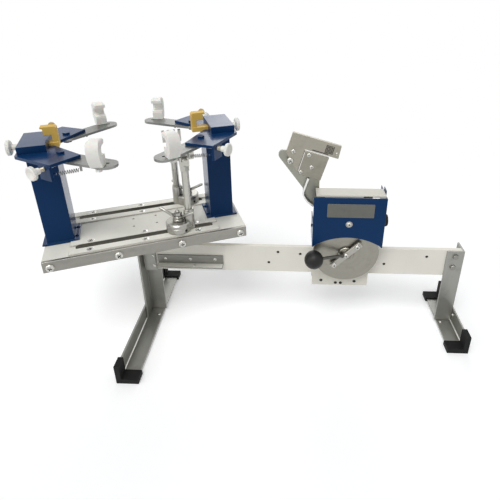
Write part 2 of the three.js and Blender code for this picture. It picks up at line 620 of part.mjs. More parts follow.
function clampLockBody() {
  const nutTop = lockNeckTop + clampLock.nutWall;
  const rodLevel = lockLow + clampLock.collarWall + clampLock.neckWall / 2;
  const rods = lockRod.angles.map((degrees) => {
    const turn = THREE.MathUtils.degToRad(degrees);
    const at = (r, z) => [r * Math.cos(turn), r * Math.sin(turn), z];
    return bar(lockRod.radius, at(lockRod.from, rodLevel), at(lockRod.to, rodLevel + lockRod.rise), coarse);
  });
  return join(upright(clampLock.collarRadius, 0, 0, lockLow, lockLow + clampLock.collarWall),
    upright(clampLock.neckRadius, 0, 0, lockLow, lockNeckTop),
    upright(clampLock.nutRadius, 0, 0, lockNeckTop - seatGap, nutTop, hexagon),
    upright(lockTip.radius, 0, 0, nutTop - seatGap, nutTop + lockTip.height, coarse), ...rods);
}

// A row of teeth that stand between the strings, drawn from the front
function combOutline(low) {
  const root = combTop - comb.depth;
  const pitch = (2 * comb.halfLength) / (comb.teeth - 1 + comb.share);
  const points = [[comb.halfLength, low], [-comb.halfLength, low]];
  for (let i = 0; i < comb.teeth; i += 1) {
    const start = i * pitch - comb.halfLength;
    const end = start + pitch * comb.share;
    points.push([start, combTop], [end, combTop]);
    if (i < comb.teeth - 1) {
      points.push([end, root], [start + pitch, root]);
    }
  }
  return outline(points);
}

function clampPostBody() {
  const { halfX, halfY, gap, wall } = clampHead;
  const rod = upright(clampPost.radius, 0, 0, clampTop + turnGap, clampHeadLow);
  const ring = upright(clampPost.ringRadius, 0, 0, housingTop + turnGap, housingTop + turnGap + clampPost.ringWall);
  const collar = upright(clampPost.collarRadius, 0, 0, clampHeadLow - clampPost.collarWall, clampHeadLow, hexagon);
  const block = box([-halfX, -halfY, clampHeadLow - seatGap], [halfX, halfY, clampHeadTop]);
  const jawPlate = frontView(combOutline(clampHeadTop - seatGap), gap, gap + wall);
  const pinEnd = clampHinge.half + clampHinge.earWall;
  const ears = [-pinEnd, clampHinge.half + turnGap].map((left) => {
    return box([left, -halfY, clampHeadTop - seatGap],
      [left + clampHinge.earWall - turnGap, gap + seatGap, hingeLevel + clampHinge.pinRadius + seatGap]);
  });
  const pin = bar(clampHinge.pinRadius, [-pinEnd, hingeY, hingeLevel], [pinEnd, hingeY, hingeLevel], coarse);
  return join(rod, ring, collar, block, jawPlate, ...ears, pin);
}

function clampJawBody() {
  const { half, knuckle, pinRadius, leverReach, leverWall } = clampHinge;
  const near = -clampHead.gap;
  const low = hingeLevel + knuckle + turnGap;
  const jawPlate = frontView(combOutline(low), near - clampHead.wall, near);
  const stem = box([-half, near - clampHead.wall, hingeLevel], [half, near, low + cutOverrun]);
  const barrel = bar(knuckle, [-half, hingeY, hingeLevel], [half, hingeY, hingeLevel]);
  const lever = box([-half, -leverReach, hingeLevel - leverWall / 2], [half, hingeY, hingeLevel + leverWall / 2]);
  const bore = bar(pinRadius + turnGap, [-half - cutOverrun, hingeY, hingeLevel],
    [half + cutOverrun, hingeY, hingeLevel], coarse);
  return cut(join(jawPlate, stem, barrel, lever), bore);
}

function buildClamps() {
  for (const [name, x, side] of [['front', frontClampAt, -1], ['back', backClampAt, 1]]) {
    const turn = side > 0 ? Math.PI : 0;
    const place = (geometry, reach) => {
      return geometry.rotateZ(turn).translate(x + reach * Math.cos(turn), side * slot.offset, 0);
    };
    addPiece(turntable, `${name}_clamp_base`, place(clampBaseBody(), 0), 'steel');
    addPiece(turntable, `${name}_clamp_lock`, place(clampLockBody(), 0), 'steel');
    addPiece(turntable, `${name}_clamp_post`, place(clampPostBody(), clamp.reach), 'steel');
    addPiece(turntable, `${name}_clamp_jaw`, place(clampJawBody(), clamp.reach), 'steel');
  }
}

// Rack and pinion share one pitch, and their teeth are thinned by the backlash
const pitchRadius = (gear.module * gear.teeth) / 2;
const toothPitch = Math.PI * gear.module;
const toothHalf = toothPitch / 4 - gear.backlash;

function pinionOutline() {
  const flank = [[-gearTooth.root, gearTooth.rootShare], [0, 1], [gearTooth.tip, gearTooth.tipShare]];
  const points = [];
  for (let i = 0; i < gear.teeth; i += 1) {
    const middle = (i / gear.teeth) * Math.PI * 2 - Math.PI / 2;
    const place = ([rise, share], side) => {
      const radius = pitchRadius + rise;
      const turn = middle + (side * toothHalf * share) / radius;
      points.push([crankAt.x + radius * Math.cos(turn), crankAt.z + radius * Math.sin(turn)]);
    };
    flank.forEach((level) => place(level, -1));
    flank.toReversed().forEach((level) => place(level, 1));
  }
  return outline(points);
}

function buildRack() {
  const pitchLine = crankAt.z - pitchRadius;
  const root = pitchLine - gearTooth.root;
  const tip = pitchLine + gearTooth.tip;
  const slope = Math.tan(THREE.MathUtils.degToRad(gearTooth.slope));
  const wide = toothHalf + gearTooth.root * slope;
  const narrow = toothHalf - gearTooth.tip * slope;
  const first = Math.ceil((rack.left - crankAt.x) / toothPitch) + 0.5;
  const last = Math.floor((rack.right - crankAt.x) / toothPitch) - 0.5;
  const points = [[rack.left, pitchLine - rack.foot], [rack.left, root]];
  for (let i = first; i <= last; i += 1) {
    const x = crankAt.x + i * toothPitch;
    points.push([x - wide, root], [x - narrow, tip], [x + narrow, tip], [x + wide, root]);
  }
  points.push([rack.right, root], [rack.right, pitchLine - rack.foot]);
  const front = railBack + rack.gap;
  addPiece(machine, 'rail_rack', frontView(outline(points), front, front + rack.wall), 'steel');
}

function buildCarriage() {
  const front = rectangle(carriage.left, carriage.right, carriage.low, carriage.frontTop);
  front.holes.push(roundHole(crankAt.x, crankAt.z, gear.shaftRadius + turnGap));
  for (const [alongShare, rise, radius] of carriageHoles) {
    const x = carriage.left + (carriage.right - carriage.left) * alongShare;
    front.holes.push(roundHole(x, carriage.low + rise, radius));
  }
  const frontBack = carriage.front + carriage.wall;
  addPiece(machine, 'carriage_front_plate', frontView(front, carriage.front, frontBack), 'cream');
  addPiece(machine, 'carriage_body', carriageBody(frontBack + seatGap), 'cream');
}

// Back plate with the guide blocks, the lever's pivot, the spring's seat and the cover's lugs
function carriageBody(blockFront) {
  const plateFront = carriage.back - carriage.wall;
  const inside = plateFront + carriage.wall / 2;
  const guideTop = rail.top + guide.slack + guide.height;
  const back = rectangle(carriage.left, carriage.right, carriage.low, carriage.backTop);
  back.holes.push(roundHole(crankAt.x, crankAt.z, gear.shaftRadius + turnGap));
  const blocks = upperGuides.map(([left, right]) => {
    return box([left, blockFront, rail.top + guide.slack], [right, inside, guideTop]);
  });
  const under = box([guide.left, blockFront, guide.low], [guide.right, inside, railLow - guide.slack]);
  const pin = bar(leverPivot.radius, [leverPivot.x, inside, leverPivot.z], [leverPivot.x, leverPivot.reach, leverPivot.z]);
  const lug = box([carriage.right - tensionLug.wall, tensionLug.front, tension.z - tensionLug.half],
    [carriage.right, inside, tension.z + tensionLug.half]);
  const coverInside = cover.wall + seatGap;
  const lugs = box([coverLeft + coverInside, coverLug.front, coverLug.low],
    [coverRight - coverInside, carriage.back, coverLug.high]);
  const rodBore = bar(tension.rodRadius + turnGap, [carriage.right - tensionLug.wall - cutOverrun, tension.y, tension.z],
    [carriage.right + cutOverrun, tension.y, tension.z]);
  return cut(join(frontView(back, plateFront, carriage.back), ...blocks, under, pin, lug, lugs), rodBore);
}

function buildDrive() {
  const { x, z } = crankAt;
  const discFront = crankDisc.back - crankDisc.wall;
  const hubFront = discFront - crankHub.wall;
  const shaftEnd = crankDisc.back - crankHub.wall;
  const shaft = bar(gear.shaftRadius, [x, carriage.back - seatGap, z], [x, shaftEnd, z]);
  const pinion = frontView(pinionOutline(), gear.front, gear.front + gear.width);
  addPiece(machine, 'pinion_shaft', join(shaft, pinion), 'steel');
  const disc = bar(crankDisc.radius, [x, crankDisc.back, z], [x, discFront, z], fine);
  const hub = bar(crankHub.radius, [x, crankDisc.back, z], [x, hubFront, z]);
  const strap = box([-crankBar.half, hubFront - crankBar.wall, -crankBar.width / 2],
    [crankBar.half, hubFront + seatGap, crankBar.width / 2]);
  strap.rotateY(THREE.MathUtils.degToRad(-crankBar.lean)).translate(x, 0, z);
  const centre = [crankRod.ballX, crankRod.ballY, crankRod.ballZ];
  const rodRoot = [x, hubFront - crankBar.wall / 2, z];
  const rod = bar(crankRod.radius, rodRoot, centre);
  const shaftBore = bar(gear.shaftRadius + seatGap, [x, crankDisc.back + cutOverrun, z], [x, shaftEnd - seatGap, z]);
  addPiece(machine, 'crank', cut(join(disc, hub, strap, rod), shaftBore), 'steel');
  addPiece(machine, 'ball_knob', ballBody(rodRoot, centre), 'ball');
}

// The ball turns freely on the crank's rod, which ends in its blind bore
function ballBody(rodRoot, centre) {
  const middle = new THREE.Vector3(...centre);
  const way = middle.clone().sub(new THREE.Vector3(...rodRoot)).normalize();
  const sphere = new THREE.SphereGeometry(ball.radius, ball.columns, ball.rows);
  sphere.applyQuaternion(new THREE.Quaternion().setFromUnitVectors(axisY, way)).translate(...centre);
  const mouth = stepped(middle, [way, -ball.radius - cutOverrun]).toArray();
  return cut(sphere, bar(crankRod.radius + turnGap, mouth, stepped(middle, [way, turnGap]).toArray()));
}

// The front of the sheet cover, arched below where the crank turns
function coverFace() {
  const centreX = (coverLeft + coverRight) / 2;
  const centreZ = coverArch.peak - coverArch.radius;
  const low = cover.low - centreZ;
  const start = Math.atan2(low, Math.sqrt(coverArch.radius ** 2 - low ** 2));
  const inner = coverLeft + cover.wall;
  const points = [[coverLeft, cover.low], [inner, cover.low]];
  const steps = 20;
  for (let i = 0; i <= steps; i += 1) {
    const turn = Math.PI - start + (2 * start - Math.PI) * (i / steps);
    const x = centreX + coverArch.radius * Math.cos(turn);
    if (x > inner && x < centreX + centreX - inner) {
      points.push([x, centreZ + coverArch.radius * Math.sin(turn)]);
    }
  }
  points.push([coverRight - cover.wall, cover.low], [coverRight, cover.low]);
  points.push([coverRight, cover.top], [coverLeft, cover.top]);
  return outline(points);
}

function buildCover() {
  const rightInner = coverRight - cover.wall;
  const face = frontView(coverFace(), cover.front, cover.front + cover.wall);
  const left = box([coverLeft, cover.front, cover.low], [coverLeft + cover.wall, cover.back, cover.notch]);
  const right = box([rightInner, cover.front, cover.low], [coverRight, cover.back, cover.top]);
  const tab = box([rightInner, coverTab.front, cover.top - cutOverrun],
    [coverRight, coverTab.back, cover.top + coverTab.rise]);
  const rodHole = bar(tension.rodRadius + cutOverrun, [rightInner - cutOverrun, tension.y, tension.z],
    [coverRight + cutOverrun, tension.y, tension.z]);
  addPiece(machine, 'head_cover', cut(join(face, left, right, tab), rodHole), 'blue');
  const low = cover.top + seatGap;
  addPiece(machine, 'head_top_plate', box([carriage.left, lid.front, low],
    [rightInner - seatGap, lid.back, low + lid.wall]), 'cream');
}

function buildLever() {
  const body = outline(leverOutline);
  body.holes.push(roundHole(leverPivot.x, leverPivot.z, lever.holeRadius));
  const end = bar(lever.endRadius, [lever.endX, -lever.half, lever.endZ], [lever.endX, lever.half, lever.endZ]);
  const strap = frontView(outline(leverStrip), leverStripFront, lever.half);
  addPiece(machine, 'tension_lever', join(frontView(body, -lever.half, lever.half), end, strap), 'steel');
}

// Gripper outlines are drawn from its top left corner, before it is tilted
function gripBody(points, holes = []) {
  const shape = outline(points);
  holes.forEach(([u, v, radius]) => shape.holes.push(roundHole(u, v, radius)));
  const body = frontView(shape, grip.front, grip.back);
  return body.rotateY(THREE.MathUtils.degToRad(grip.tilt)).translate(grip.x, 0, grip.z);
}

function buildGripper() {
  addPiece(machine, 'gripper_fixed_jaw', gripBody(fixedJawOutline, jawHoles), 'steel');
  addPiece(machine, 'gripper_moving_jaw', gripBody(movingJawOutline), 'steel');
}

function buildTensionDial() {
  const at = (x) => [x, tension.y, tension.z];
  const knobRight = knobLeft + tension.knobWall;
  const rod = bar(tension.rodRadius, at(tension.rodLeft), at(knobLeft + tension.knobWall / 2));
  const knob = bar(tension.knobRadius, at(knobLeft), at(knobRight));
  addPiece(machine, 'tension_knob', join(rod, knob), 'rubber');
  const right = carriage.right - tensionLug.wall - tensionSpring.clearance;
  const spring = coil('tension_spring', at(tensionSpring.left), at(right),
    tensionSpring.coilRadius, tensionSpring.wireRadius, tensionSpring.curls);
  addPiece(machine, 'tension_spring', spring, 'steel');
}

buildRail();
buildLegsAndFeet();
buildTableBracket();
buildBearing();
buildRack();
buildSpindle();
buildTablePlate();
for (const [side, sign] of [['left', -1], ['right', 1]]) {
  buildPost(`${side}_post`, sign);
  buildHead(`${side}_head`, sign);
}
buildHook('left_hook', -1, leftPadAt);
buildHook('right_hook', 1, rightPadAt);
buildHookScrew('left_hook_screw', -1, leftKnobAt);
buildHookScrew('right_hook_screw', 1, rightKnobAt);
buildArms();
buildClamps();
buildCarriage();
buildDrive();
buildCover();
buildLever();
buildGripper();
buildTensionDial();

// The origin sits at the bottom centre of the whole machine
machine.updateMatrixWorld(true);
const bounds = new THREE.Box3().setFromObject(machine, true);
const middle = bounds.getCenter(new THREE.Vector3());
machine.position.set(-middle.x, -middle.y, -bounds.min.z);

export default machine;
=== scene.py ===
"""Looks of a racket stringing machine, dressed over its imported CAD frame.

Sizes in the classes are millimetres in the machine's own frame or in the turntable's, and finished meshes
are metres in the row frame.
"""

import json
import logging
import math
from dataclasses import dataclass, field
from enum import Enum
from typing import Dict, Iterable, List, Mapping, Optional, Sequence, Tuple, Union

import bmesh
import bpy
from mathutils import Euler, Matrix, Vector

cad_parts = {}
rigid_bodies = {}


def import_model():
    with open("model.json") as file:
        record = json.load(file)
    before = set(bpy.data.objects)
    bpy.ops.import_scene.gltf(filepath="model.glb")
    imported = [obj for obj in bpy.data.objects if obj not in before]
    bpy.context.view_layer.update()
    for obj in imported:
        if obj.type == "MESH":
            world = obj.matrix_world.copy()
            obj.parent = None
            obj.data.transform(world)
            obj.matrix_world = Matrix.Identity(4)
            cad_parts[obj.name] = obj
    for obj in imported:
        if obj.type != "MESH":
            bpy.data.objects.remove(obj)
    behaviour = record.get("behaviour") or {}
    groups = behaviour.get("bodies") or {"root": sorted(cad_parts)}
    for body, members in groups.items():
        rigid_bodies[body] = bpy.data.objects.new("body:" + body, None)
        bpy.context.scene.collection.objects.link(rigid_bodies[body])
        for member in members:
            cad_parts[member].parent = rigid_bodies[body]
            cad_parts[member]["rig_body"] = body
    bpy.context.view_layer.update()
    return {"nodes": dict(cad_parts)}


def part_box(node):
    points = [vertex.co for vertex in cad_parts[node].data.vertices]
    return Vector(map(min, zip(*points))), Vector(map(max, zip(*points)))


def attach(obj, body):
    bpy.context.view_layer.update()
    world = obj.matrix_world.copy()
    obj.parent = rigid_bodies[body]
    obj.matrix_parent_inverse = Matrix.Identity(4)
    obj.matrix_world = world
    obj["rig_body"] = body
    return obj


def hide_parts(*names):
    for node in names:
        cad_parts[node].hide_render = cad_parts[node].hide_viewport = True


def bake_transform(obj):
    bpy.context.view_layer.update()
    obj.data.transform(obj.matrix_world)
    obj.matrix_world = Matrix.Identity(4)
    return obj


LOG = logging.getLogger("stringing_machine")
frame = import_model()

MILLI = 0.001
TABLE_TURN = math.radians(21.53)
SHARP_TURN = math.radians(40.0)
HEAD_SHARP_TURN = math.radians(32.0)
FLAT_TURN = math.radians(0.6)
MERGE_REACH = 2e-6
Pair = Tuple[float, float]
Point = Tuple[float, float, float]
Colour = Tuple[float, float, float]


class Place(Enum):
    """The frame that a piece's sizes are drawn in, by its turn about the turntable's axis."""

    MACHINE = 0.0
    TURNTABLE = TABLE_TURN

    def matrix(self) -> Matrix:
        """Millimetres in this place to metres in the row frame; the spindle's axis is its origin."""
        low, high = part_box("table_spindle")
        axis = Vector(((low.x + high.x) / 2, (low.y + high.y) / 2, 0))
        return Matrix.Translation(axis) @ Matrix.Rotation(self.value, 4, "Z") @ Matrix.Scale(MILLI, 4)


class Value:
    """One number in a shader, whose operators add Math nodes."""

    def __init__(self, sheet: "Sheet", socket: bpy.types.NodeSocket) -> None:
        """Keep the sheet and the output socket that carries the number."""
        self.sheet = sheet
        self.socket = socket

    def __add__(self, other: Union["Value", float]) -> "Value":
        """Sum of the two."""
        return self.sheet.math("ADD", self, other)

    __radd__ = __add__

    def __sub__(self, other: Union["Value", float]) -> "Value":
        """This less the other."""
        return self.sheet.math("SUBTRACT", self, other)

    def __rsub__(self, other: float) -> "Value":
        """The other less this."""
        return self.sheet.math("SUBTRACT", other, self)

    def __mul__(self, other: Union["Value", float]) -> "Value":
        """Product of the two."""
        return self.sheet.math("MULTIPLY", self, other)

    __rmul__ = __mul__

    def __pow__(self, other: Union["Value", float]) -> "Value":
        """This to a power."""
        return self.sheet.math("POWER", self, other)

    def step(self, low: float, high: float) -> "Value":
        """A smooth rise from 0 at low to 1 at high."""
        made = self.sheet.node(
            "ShaderNodeMapRange",
            {"interpolation_type": "SMOOTHSTEP"},
            {"Value": self, "From Min": low, "From Max": high},
        )
        return Value(self.sheet, made.outputs["Result"])


class Sheet:
    """The node sheet of one material."""

    def __init__(self, name: str) -> None:
        """Start a material with an empty node sheet.

        Args:
            name: The material's name.
        """
        self.material = bpy.data.materials.new(name)
        self.material.use_nodes = True
        self.tree = self.material.node_tree
        self.tree.nodes.clear()

    def node(
        self,
        kind: str,
        settings: Optional[Mapping[str, object]] = None,
        inputs: Optional[Mapping[Union[str, int], object]] = None,
    ) -> bpy.types.Node:
        """Add one node.

        Args:
            kind: The node's type.
            settings: Its own settings, such as a Math node's operation, set first.
            inputs: Values or links of its sockets, by name or index.

        Returns:
            The node.
        """
        made = self.tree.nodes.new(kind)
        for key, value in (settings or {}).items():
            setattr(made, key, value)
        for key, value in (inputs or {}).items():
            if isinstance(value, Value):
                self.tree.links.new(value.socket, made.inputs[key])
            else:
                made.inputs[key].default_value = value
        return made

    def math(self, operation: str, *operands: Union[Value, float]) -> Value:
        """Add a Math node with these operands."""
        made = self.node("ShaderNodeMath", {"operation": operation}, dict(enumerate(operands)))
        return Value(self, made.outputs[0])

    def spot(
        self,
        turn: Point = (0.0, 0.0, 0.0),
        centre: Point = (0.0, 0.0, 0.0),
        stretch: Point = (1.0, 1.0, 1.0),
    ) -> Value:
        """Object coordinates in a turned, centred and stretched pattern frame.

        Args:
            turn: Euler angles of the pattern frame, in radians.
            centre: The pattern's origin in the row frame, in metres.
            stretch: How far the pattern is drawn out along each of its axes.

        Returns:
            The coordinates.
        """
        place = self.node("ShaderNodeTexCoord").outputs["Object"]
        mapped = self.node(
            "ShaderNodeMapping",
            {"vector_type": "TEXTURE"},
            {"Vector": Value(self, place), "Location": centre, "Rotation": turn, "Scale": stretch},
        )
        return Value(self, mapped.outputs["Vector"])

    def noise(self, spot: Value, scale: float, detail: float = 2.0, rough: float = 0.5) -> Value:
        """Soft noise with about scale grains in a metre, from 0 to 1."""
        made = self.node(
            "ShaderNodeTexNoise",
            {"noise_dimensions": "3D"},
            {"Vector": spot, "Scale": scale, "Detail": detail, "Roughness": rough},
        )
        return Value(self, made.outputs[0])

    def edge(self, reach: float, samples: int = 4) -> Value:
        """A mask of the edges, from 0 on a flat face up to 1 on an edge, used for wear and for painted
        highlights.
        """
        bevel = self.node("ShaderNodeBevel", {"samples": samples}, {"Radius": reach * MILLI})
        flat = self.node("ShaderNodeNewGeometry").outputs["True Normal"]
        dot = self.node("ShaderNodeVectorMath", {"operation": "DOT_PRODUCT"})
        self.tree.links.new(bevel.outputs["Normal"], dot.inputs[0])
        self.tree.links.new(flat, dot.inputs[1])
        return (1.0 - Value(self, dot.outputs["Value"])).step(0.01, 0.22)

    def shade_mask(self, reach: float, samples: int = 6) -> Value:
        """A mask of the piece's own corners and slots, from 0 on an open face up to 1 deep inside, used to
        paint shade there.
        """
        cover = self.node("ShaderNodeAmbientOcclusion", {"samples": samples, "only_local": True})
        cover.inputs["Distance"].default_value = reach * MILLI
        return (1.0 - Value(self, cover.outputs["AO"])).step(0.07, 0.6)

    def sheen(self, low: float, high: float) -> Value:
        """A share that rises where a surface is seen at a flat angle, for gloss alone."""
        layer = self.node("ShaderNodeLayerWeight", {}, {"Blend": 0.5})
        return Value(self, layer.outputs["Facing"]).step(low, high)

    def mix(
        self, share: Union[Value, float], one: Union[Value, Colour], two: Union[Value, Colour]
    ) -> Value:
        """A colour between two colours."""
        pair = {
            6: one if isinstance(one, Value) else (*one, 1.0),
            7: two if isinstance(two, Value) else (*two, 1.0),
        }
        made = self.node("ShaderNodeMix", {"data_type": "RGBA"}, {0: share, **pair})
        return Value(self, made.outputs[2])

    def bump(self, height: Value, distance: float, strength: float = 1.0) -> Value:
        """A normal from a height whose full rise is a distance in millimetres."""
        made = self.node(
            "ShaderNodeBump",
            {},
            {"Height": height, "Distance": distance * MILLI, "Strength": strength},
        )
        return Value(self, made.outputs["Normal"])

    def surface(self, inputs: Mapping[Union[str, int], object]) -> bpy.types.Material:
        """Close the sheet with a principled shader.

        Args:
            inputs: Values or links of the shader's sockets.

        Returns:
            The material.
        """
        shader = self.node("ShaderNodeBsdfPrincipled", {}, inputs)
        output = self.node("ShaderNodeOutputMaterial")
        self.tree.links.new(shader.outputs["BSDF"], output.inputs["Surface"])
        return self.material


MATERIALS: Dict[str, bpy.types.Material] = {}


@dataclass(frozen=True)
class Finish:
    """What the surface of some pieces is made of."""

    name: str
    colour: Colour
    roughness: float = 0.5

    def material(self) -> bpy.types.Material:
        """The finish's material, made once."""
        if self.name not in MATERIALS:
            MATERIALS[self.name] = self.make(Sheet(self.name))
        return MATERIALS[self.name]

    def make(self, sheet: Sheet) -> bpy.types.Material:
        """Fill the material's sheet; each kind of finish has its own."""
        raise NotImplementedError

    def shade(self, share: float) -> Colour:
        """The finish's colour made lighter or darker."""
        return tuple(min(1.0, part * share) for part in self.colour)


@dataclass(frozen=True)
class Paint(Finish):
    """Sprayed enamel or powder coat: a fine orange peel, slow tone drift, rubbed edges, painted highlights on
    edges and painted shade in corners.
    """

    peel: float = 0.03
    gloss: float = 0.35
    level: float = 0.2
    under: Colour = (0.42, 0.42, 0.42)
    worn: float = 0.35
    # A share of painted highlight on every edge, towards the undercoat.
    edge_highlight: float = 0.0
    # Painted shade in corners: its share, and its reach in millimetres.
    corner_shade: float = 0.5
    shade_reach: float = 5.0

    def make(self, sheet: Sheet) -> bpy.types.Material:
        """Fill the sheet of a painted part."""
        spot = sheet.spot()
        drift = sheet.noise(spot, 14.0, 3.0)
        grime = sheet.noise(spot, 90.0, 4.0, 0.65)
        peel = sheet.noise(spot, 850.0, 1.5)
        streak = sheet.noise(sheet.spot(stretch=(1.0, 1.0, 9.0)), 240.0, 3.0, 0.6)
        tone = sheet.mix(drift, self.shade(0.90), self.shade(1.08))
        tone = sheet.mix(streak.step(0.55, 0.8) * 0.14, tone, self.shade(0.8))
        tone = sheet.mix(grime.step(0.6, 0.85) * 0.14, tone, self.shade(0.74))
        # Corners and slots darkened: painted shade.
        tone = sheet.mix(sheet.shade_mask(self.shade_reach) * self.corner_shade, tone, self.shade(0.34))
        edge = sheet.edge(0.8)
        # Every edge lightened towards the undercoat: a painted highlight; the rub below is wear.
        tone = sheet.mix(edge * self.edge_highlight, tone, self.under)
        rub = edge * grime.step(0.46, 0.62) * self.worn
        tone = sheet.mix(rub, tone, self.under)
        rough = self.roughness + (grime - 0.5) * 0.18 + (drift - 0.5) * 0.1 + rub * 0.15
        return sheet.surface(
            {
                "Base Color": tone,
                "Roughness": rough,
                "Specular IOR Level": self.level,
                "Coat Weight": sheet.sheen(0.3, 0.62) * self.gloss,
                "Coat Roughness": 0.16,
                "Normal": sheet.bump(peel + grime * 0.6, self.peel),
            }
        )


@dataclass(frozen=True)
class Metal(Finish):
    """Bare metal with grain drawn along one line, faint stains, edges painted lighter as a highlight and
    corners painted darker as shade.
    """

    turn: Point = (0.0, 0.0, 0.0)
    grain: float = 1.0
    draw: float = 14.0
    metallic: float = 0.92
    # How much lighter the painted highlight makes the edges; below it, the share of painted shade in corners.
    bright: float = 1.7
    corner_shade: float = 0.55

    def make(self, sheet: Sheet) -> bpy.types.Material:
        """Fill the sheet of a brushed, drawn or ground part."""
        lines = sheet.spot(turn=self.turn, stretch=(self.draw, 1.0, 1.0))
        brush = sheet.noise(lines, 1300.0, 2.5, 0.6)
        bands = sheet.noise(lines, 160.0, 2.0)
        stain = sheet.noise(sheet.spot(), 45.0, 4.0, 0.6)
        cloud = sheet.noise(sheet.spot(), 11.0, 2.0)
        tone = sheet.mix(brush * 0.5 + bands * 0.5, self.shade(0.78), self.shade(1.2))
        tone = sheet.mix(cloud, sheet.mix(0.5, tone, self.shade(0.84)), tone)
        tone = sheet.mix(stain.step(0.5, 0.76) * 0.4, tone, self.shade(0.62))
        # Corners and slots darkened: painted shade.
        tone = sheet.mix(sheet.shade_mask(7.0) * self.corner_shade, tone, self.shade(0.28))
        edge = sheet.edge(0.7)
        # Edges lightened: a painted highlight.
        tone = sheet.mix(edge * 0.75, tone, self.shade(self.bright))
        rough = self.roughness + (brush - 0.5) * 0.22 + (stain - 0.5) * 0.16 - edge * 0.08
        return sheet.surface(
            {
                "Base Color": tone,
                "Metallic": self.metallic,
                "Roughness": rough,
                "Normal": sheet.bump(brush + bands * 0.4, 0.014 * self.grain),
            }
        )


@dataclass(frozen=True)
class Turned(Finish):
    """Metal turned or polished round an axis: fine marks that run round its centre."""

    centre: Point = (0.0, 0.0, 0.0)
    turn: Point = (0.0, 0.0, 0.0)
    marks: float = 1500.0
    depth: float = 0.02
    metallic: float = 1.0
    contrast: float = 0.16

    def make(self, sheet: Sheet) -> bpy.types.Material:
        """Fill the sheet of a lathe turned part."""
        split = sheet.node("ShaderNodeSeparateXYZ", {}, {0: sheet.spot(turn=self.turn, centre=self.centre)})
        across, along = Value(sheet, split.outputs["X"]), Value(sheet, split.outputs["Y"])
        radius = (across * across + along * along) ** 0.5
        wound = sheet.node("ShaderNodeCombineXYZ", {}, {"X": radius, "Z": Value(sheet, split.outputs["Z"])})
        marks = sheet.noise(Value(sheet, wound.outputs["Vector"]), self.marks, 3.0, 0.6)
        bands = sheet.noise(Value(sheet, wound.outputs["Vector"]), self.marks / 7, 2.0)
        stain = sheet.noise(sheet.spot(), 70.0, 4.0, 0.62)
        dark, light = self.shade(1.0 - self.contrast), self.shade(1.0 + self.contrast)
        tone = sheet.mix(marks * 0.5 + bands * 0.5, dark, light)
        tone = sheet.mix(stain.step(0.5, 0.76) * 0.35, tone, self.shade(0.66))
        # Corners and slots darkened: painted shade.
        tone = sheet.mix(sheet.shade_mask(6.0) * 0.7, tone, self.shade(0.22))
        # Edges lightened: a painted highlight.
        edge = sheet.edge(0.6)
        tone = sheet.mix(edge * 0.7, tone, self.shade(1.8))
        rough = self.roughness + (marks - 0.5) * 0.16 + (stain - 0.5) * 0.2
        return sheet.surface(
            {
                "Base Color": tone,
                "Metallic": self.metallic,
                "Roughness": rough,
                "Normal": sheet.bump(marks + bands * 0.6, self.depth),
            }
        )


@dataclass(frozen=True)
class Moulded(Finish):
    """Moulded nylon, plastic or rubber: a fine skin, slow tone drift and handled patches."""

    skin: float = 0.03
    scale: float = 1100.0
    soft: float = 0.0
    scuff: float = 0.12
    level: float = 0.4

    def make(self, sheet: Sheet) -> bpy.types.Material:
        """Fill the sheet of a moulded part."""
        spot = sheet.spot()
        drift = sheet.noise(spot, 60.0, 3.0)
        skin = sheet.noise(spot, self.scale, 2.0)
        patch = sheet.noise(spot, 190.0, 4.0, 0.65)
        tone = sheet.mix(drift, self.shade(0.92), self.shade(1.06))
        tone = sheet.mix(patch.step(0.56, 0.78) * 0.3, tone, self.shade(0.8))
        # Corners darkened a little: painted shade.
        tone = sheet.mix(sheet.shade_mask(4.0) * 0.15, tone, self.shade(0.5))
        edge = sheet.edge(1.0) * self.scuff
        lift = tuple(min(1.0, part + 0.16) for part in self.colour)
        tone = sheet.mix(edge, tone, lift)
        rough = self.roughness + (patch - 0.5) * 0.22
        return sheet.surface(
            {
                "Base Color": tone,
                "Roughness": rough,
                "Specular IOR Level": self.level,
                "Subsurface Weight": self.soft,
                "Subsurface Scale": 0.002,
                "Normal": sheet.bump(skin + patch * 0.7, self.skin),
            }
        )


GRIP_ANGLE = math.radians(16.4)
BAR_ANGLE = math.radians(45.0)
ALONG_TABLE = (0.0, 0.0, TABLE_TURN)
ALONG_DEPTH = (0.0, 0.0, math.radians(90.0))
UPRIGHT = (0.0, math.radians(90.0), 0.0)
GRIP_TILT = (0.0, GRIP_ANGLE, 0.0)
FACING = (math.radians(90.0), 0.0, 0.0)
BAR_LEAN = (0.0, -BAR_ANGLE, 0.0)


def cream(name: str, colour: Colour, under: Colour) -> Paint:
    """Cream enamel of one tone, over a lighter coat that shows where it is rubbed."""
    return Paint(name, colour, 0.46, peel=0.02, gloss=0.15, under=under, worn=0.3)


# The rail's coat is a lighter copy of the cream enamel, painted light, and the lid's a darker copy, painted
# shade.
CREAM = cream("cream_coat", (0.74, 0.715, 0.635), (0.82, 0.8, 0.74))
RAIL_CREAM_LIT = cream("rail_coat", (0.80, 0.775, 0.695), (0.85, 0.83, 0.77))
LID_CREAM_SHADED = cream("lid_coat", (0.60, 0.58, 0.51), (0.82, 0.8, 0.74))
PLATE_CREAM = Paint("plate_coat", (0.85, 0.83, 0.75), 0.44, peel=0.015, gloss=0.15,
                    under=(0.8, 0.78, 0.72), corner_shade=0.85, shade_reach=3.5)
BLUE = Paint("blue_enamel", (0.0045, 0.034, 0.113), 0.34, peel=0.03, gloss=0.54, level=0.1,
             under=(0.03, 0.14, 0.36), worn=0.5, edge_highlight=0.4)
ALUMINIUM = Metal("mill_aluminium", (0.33, 0.328, 0.305), 0.42, UPRIGHT)
ALUMINIUM_LONG = Metal("mill_aluminium_long", (0.34, 0.34, 0.315), 0.42, ALONG_DEPTH)
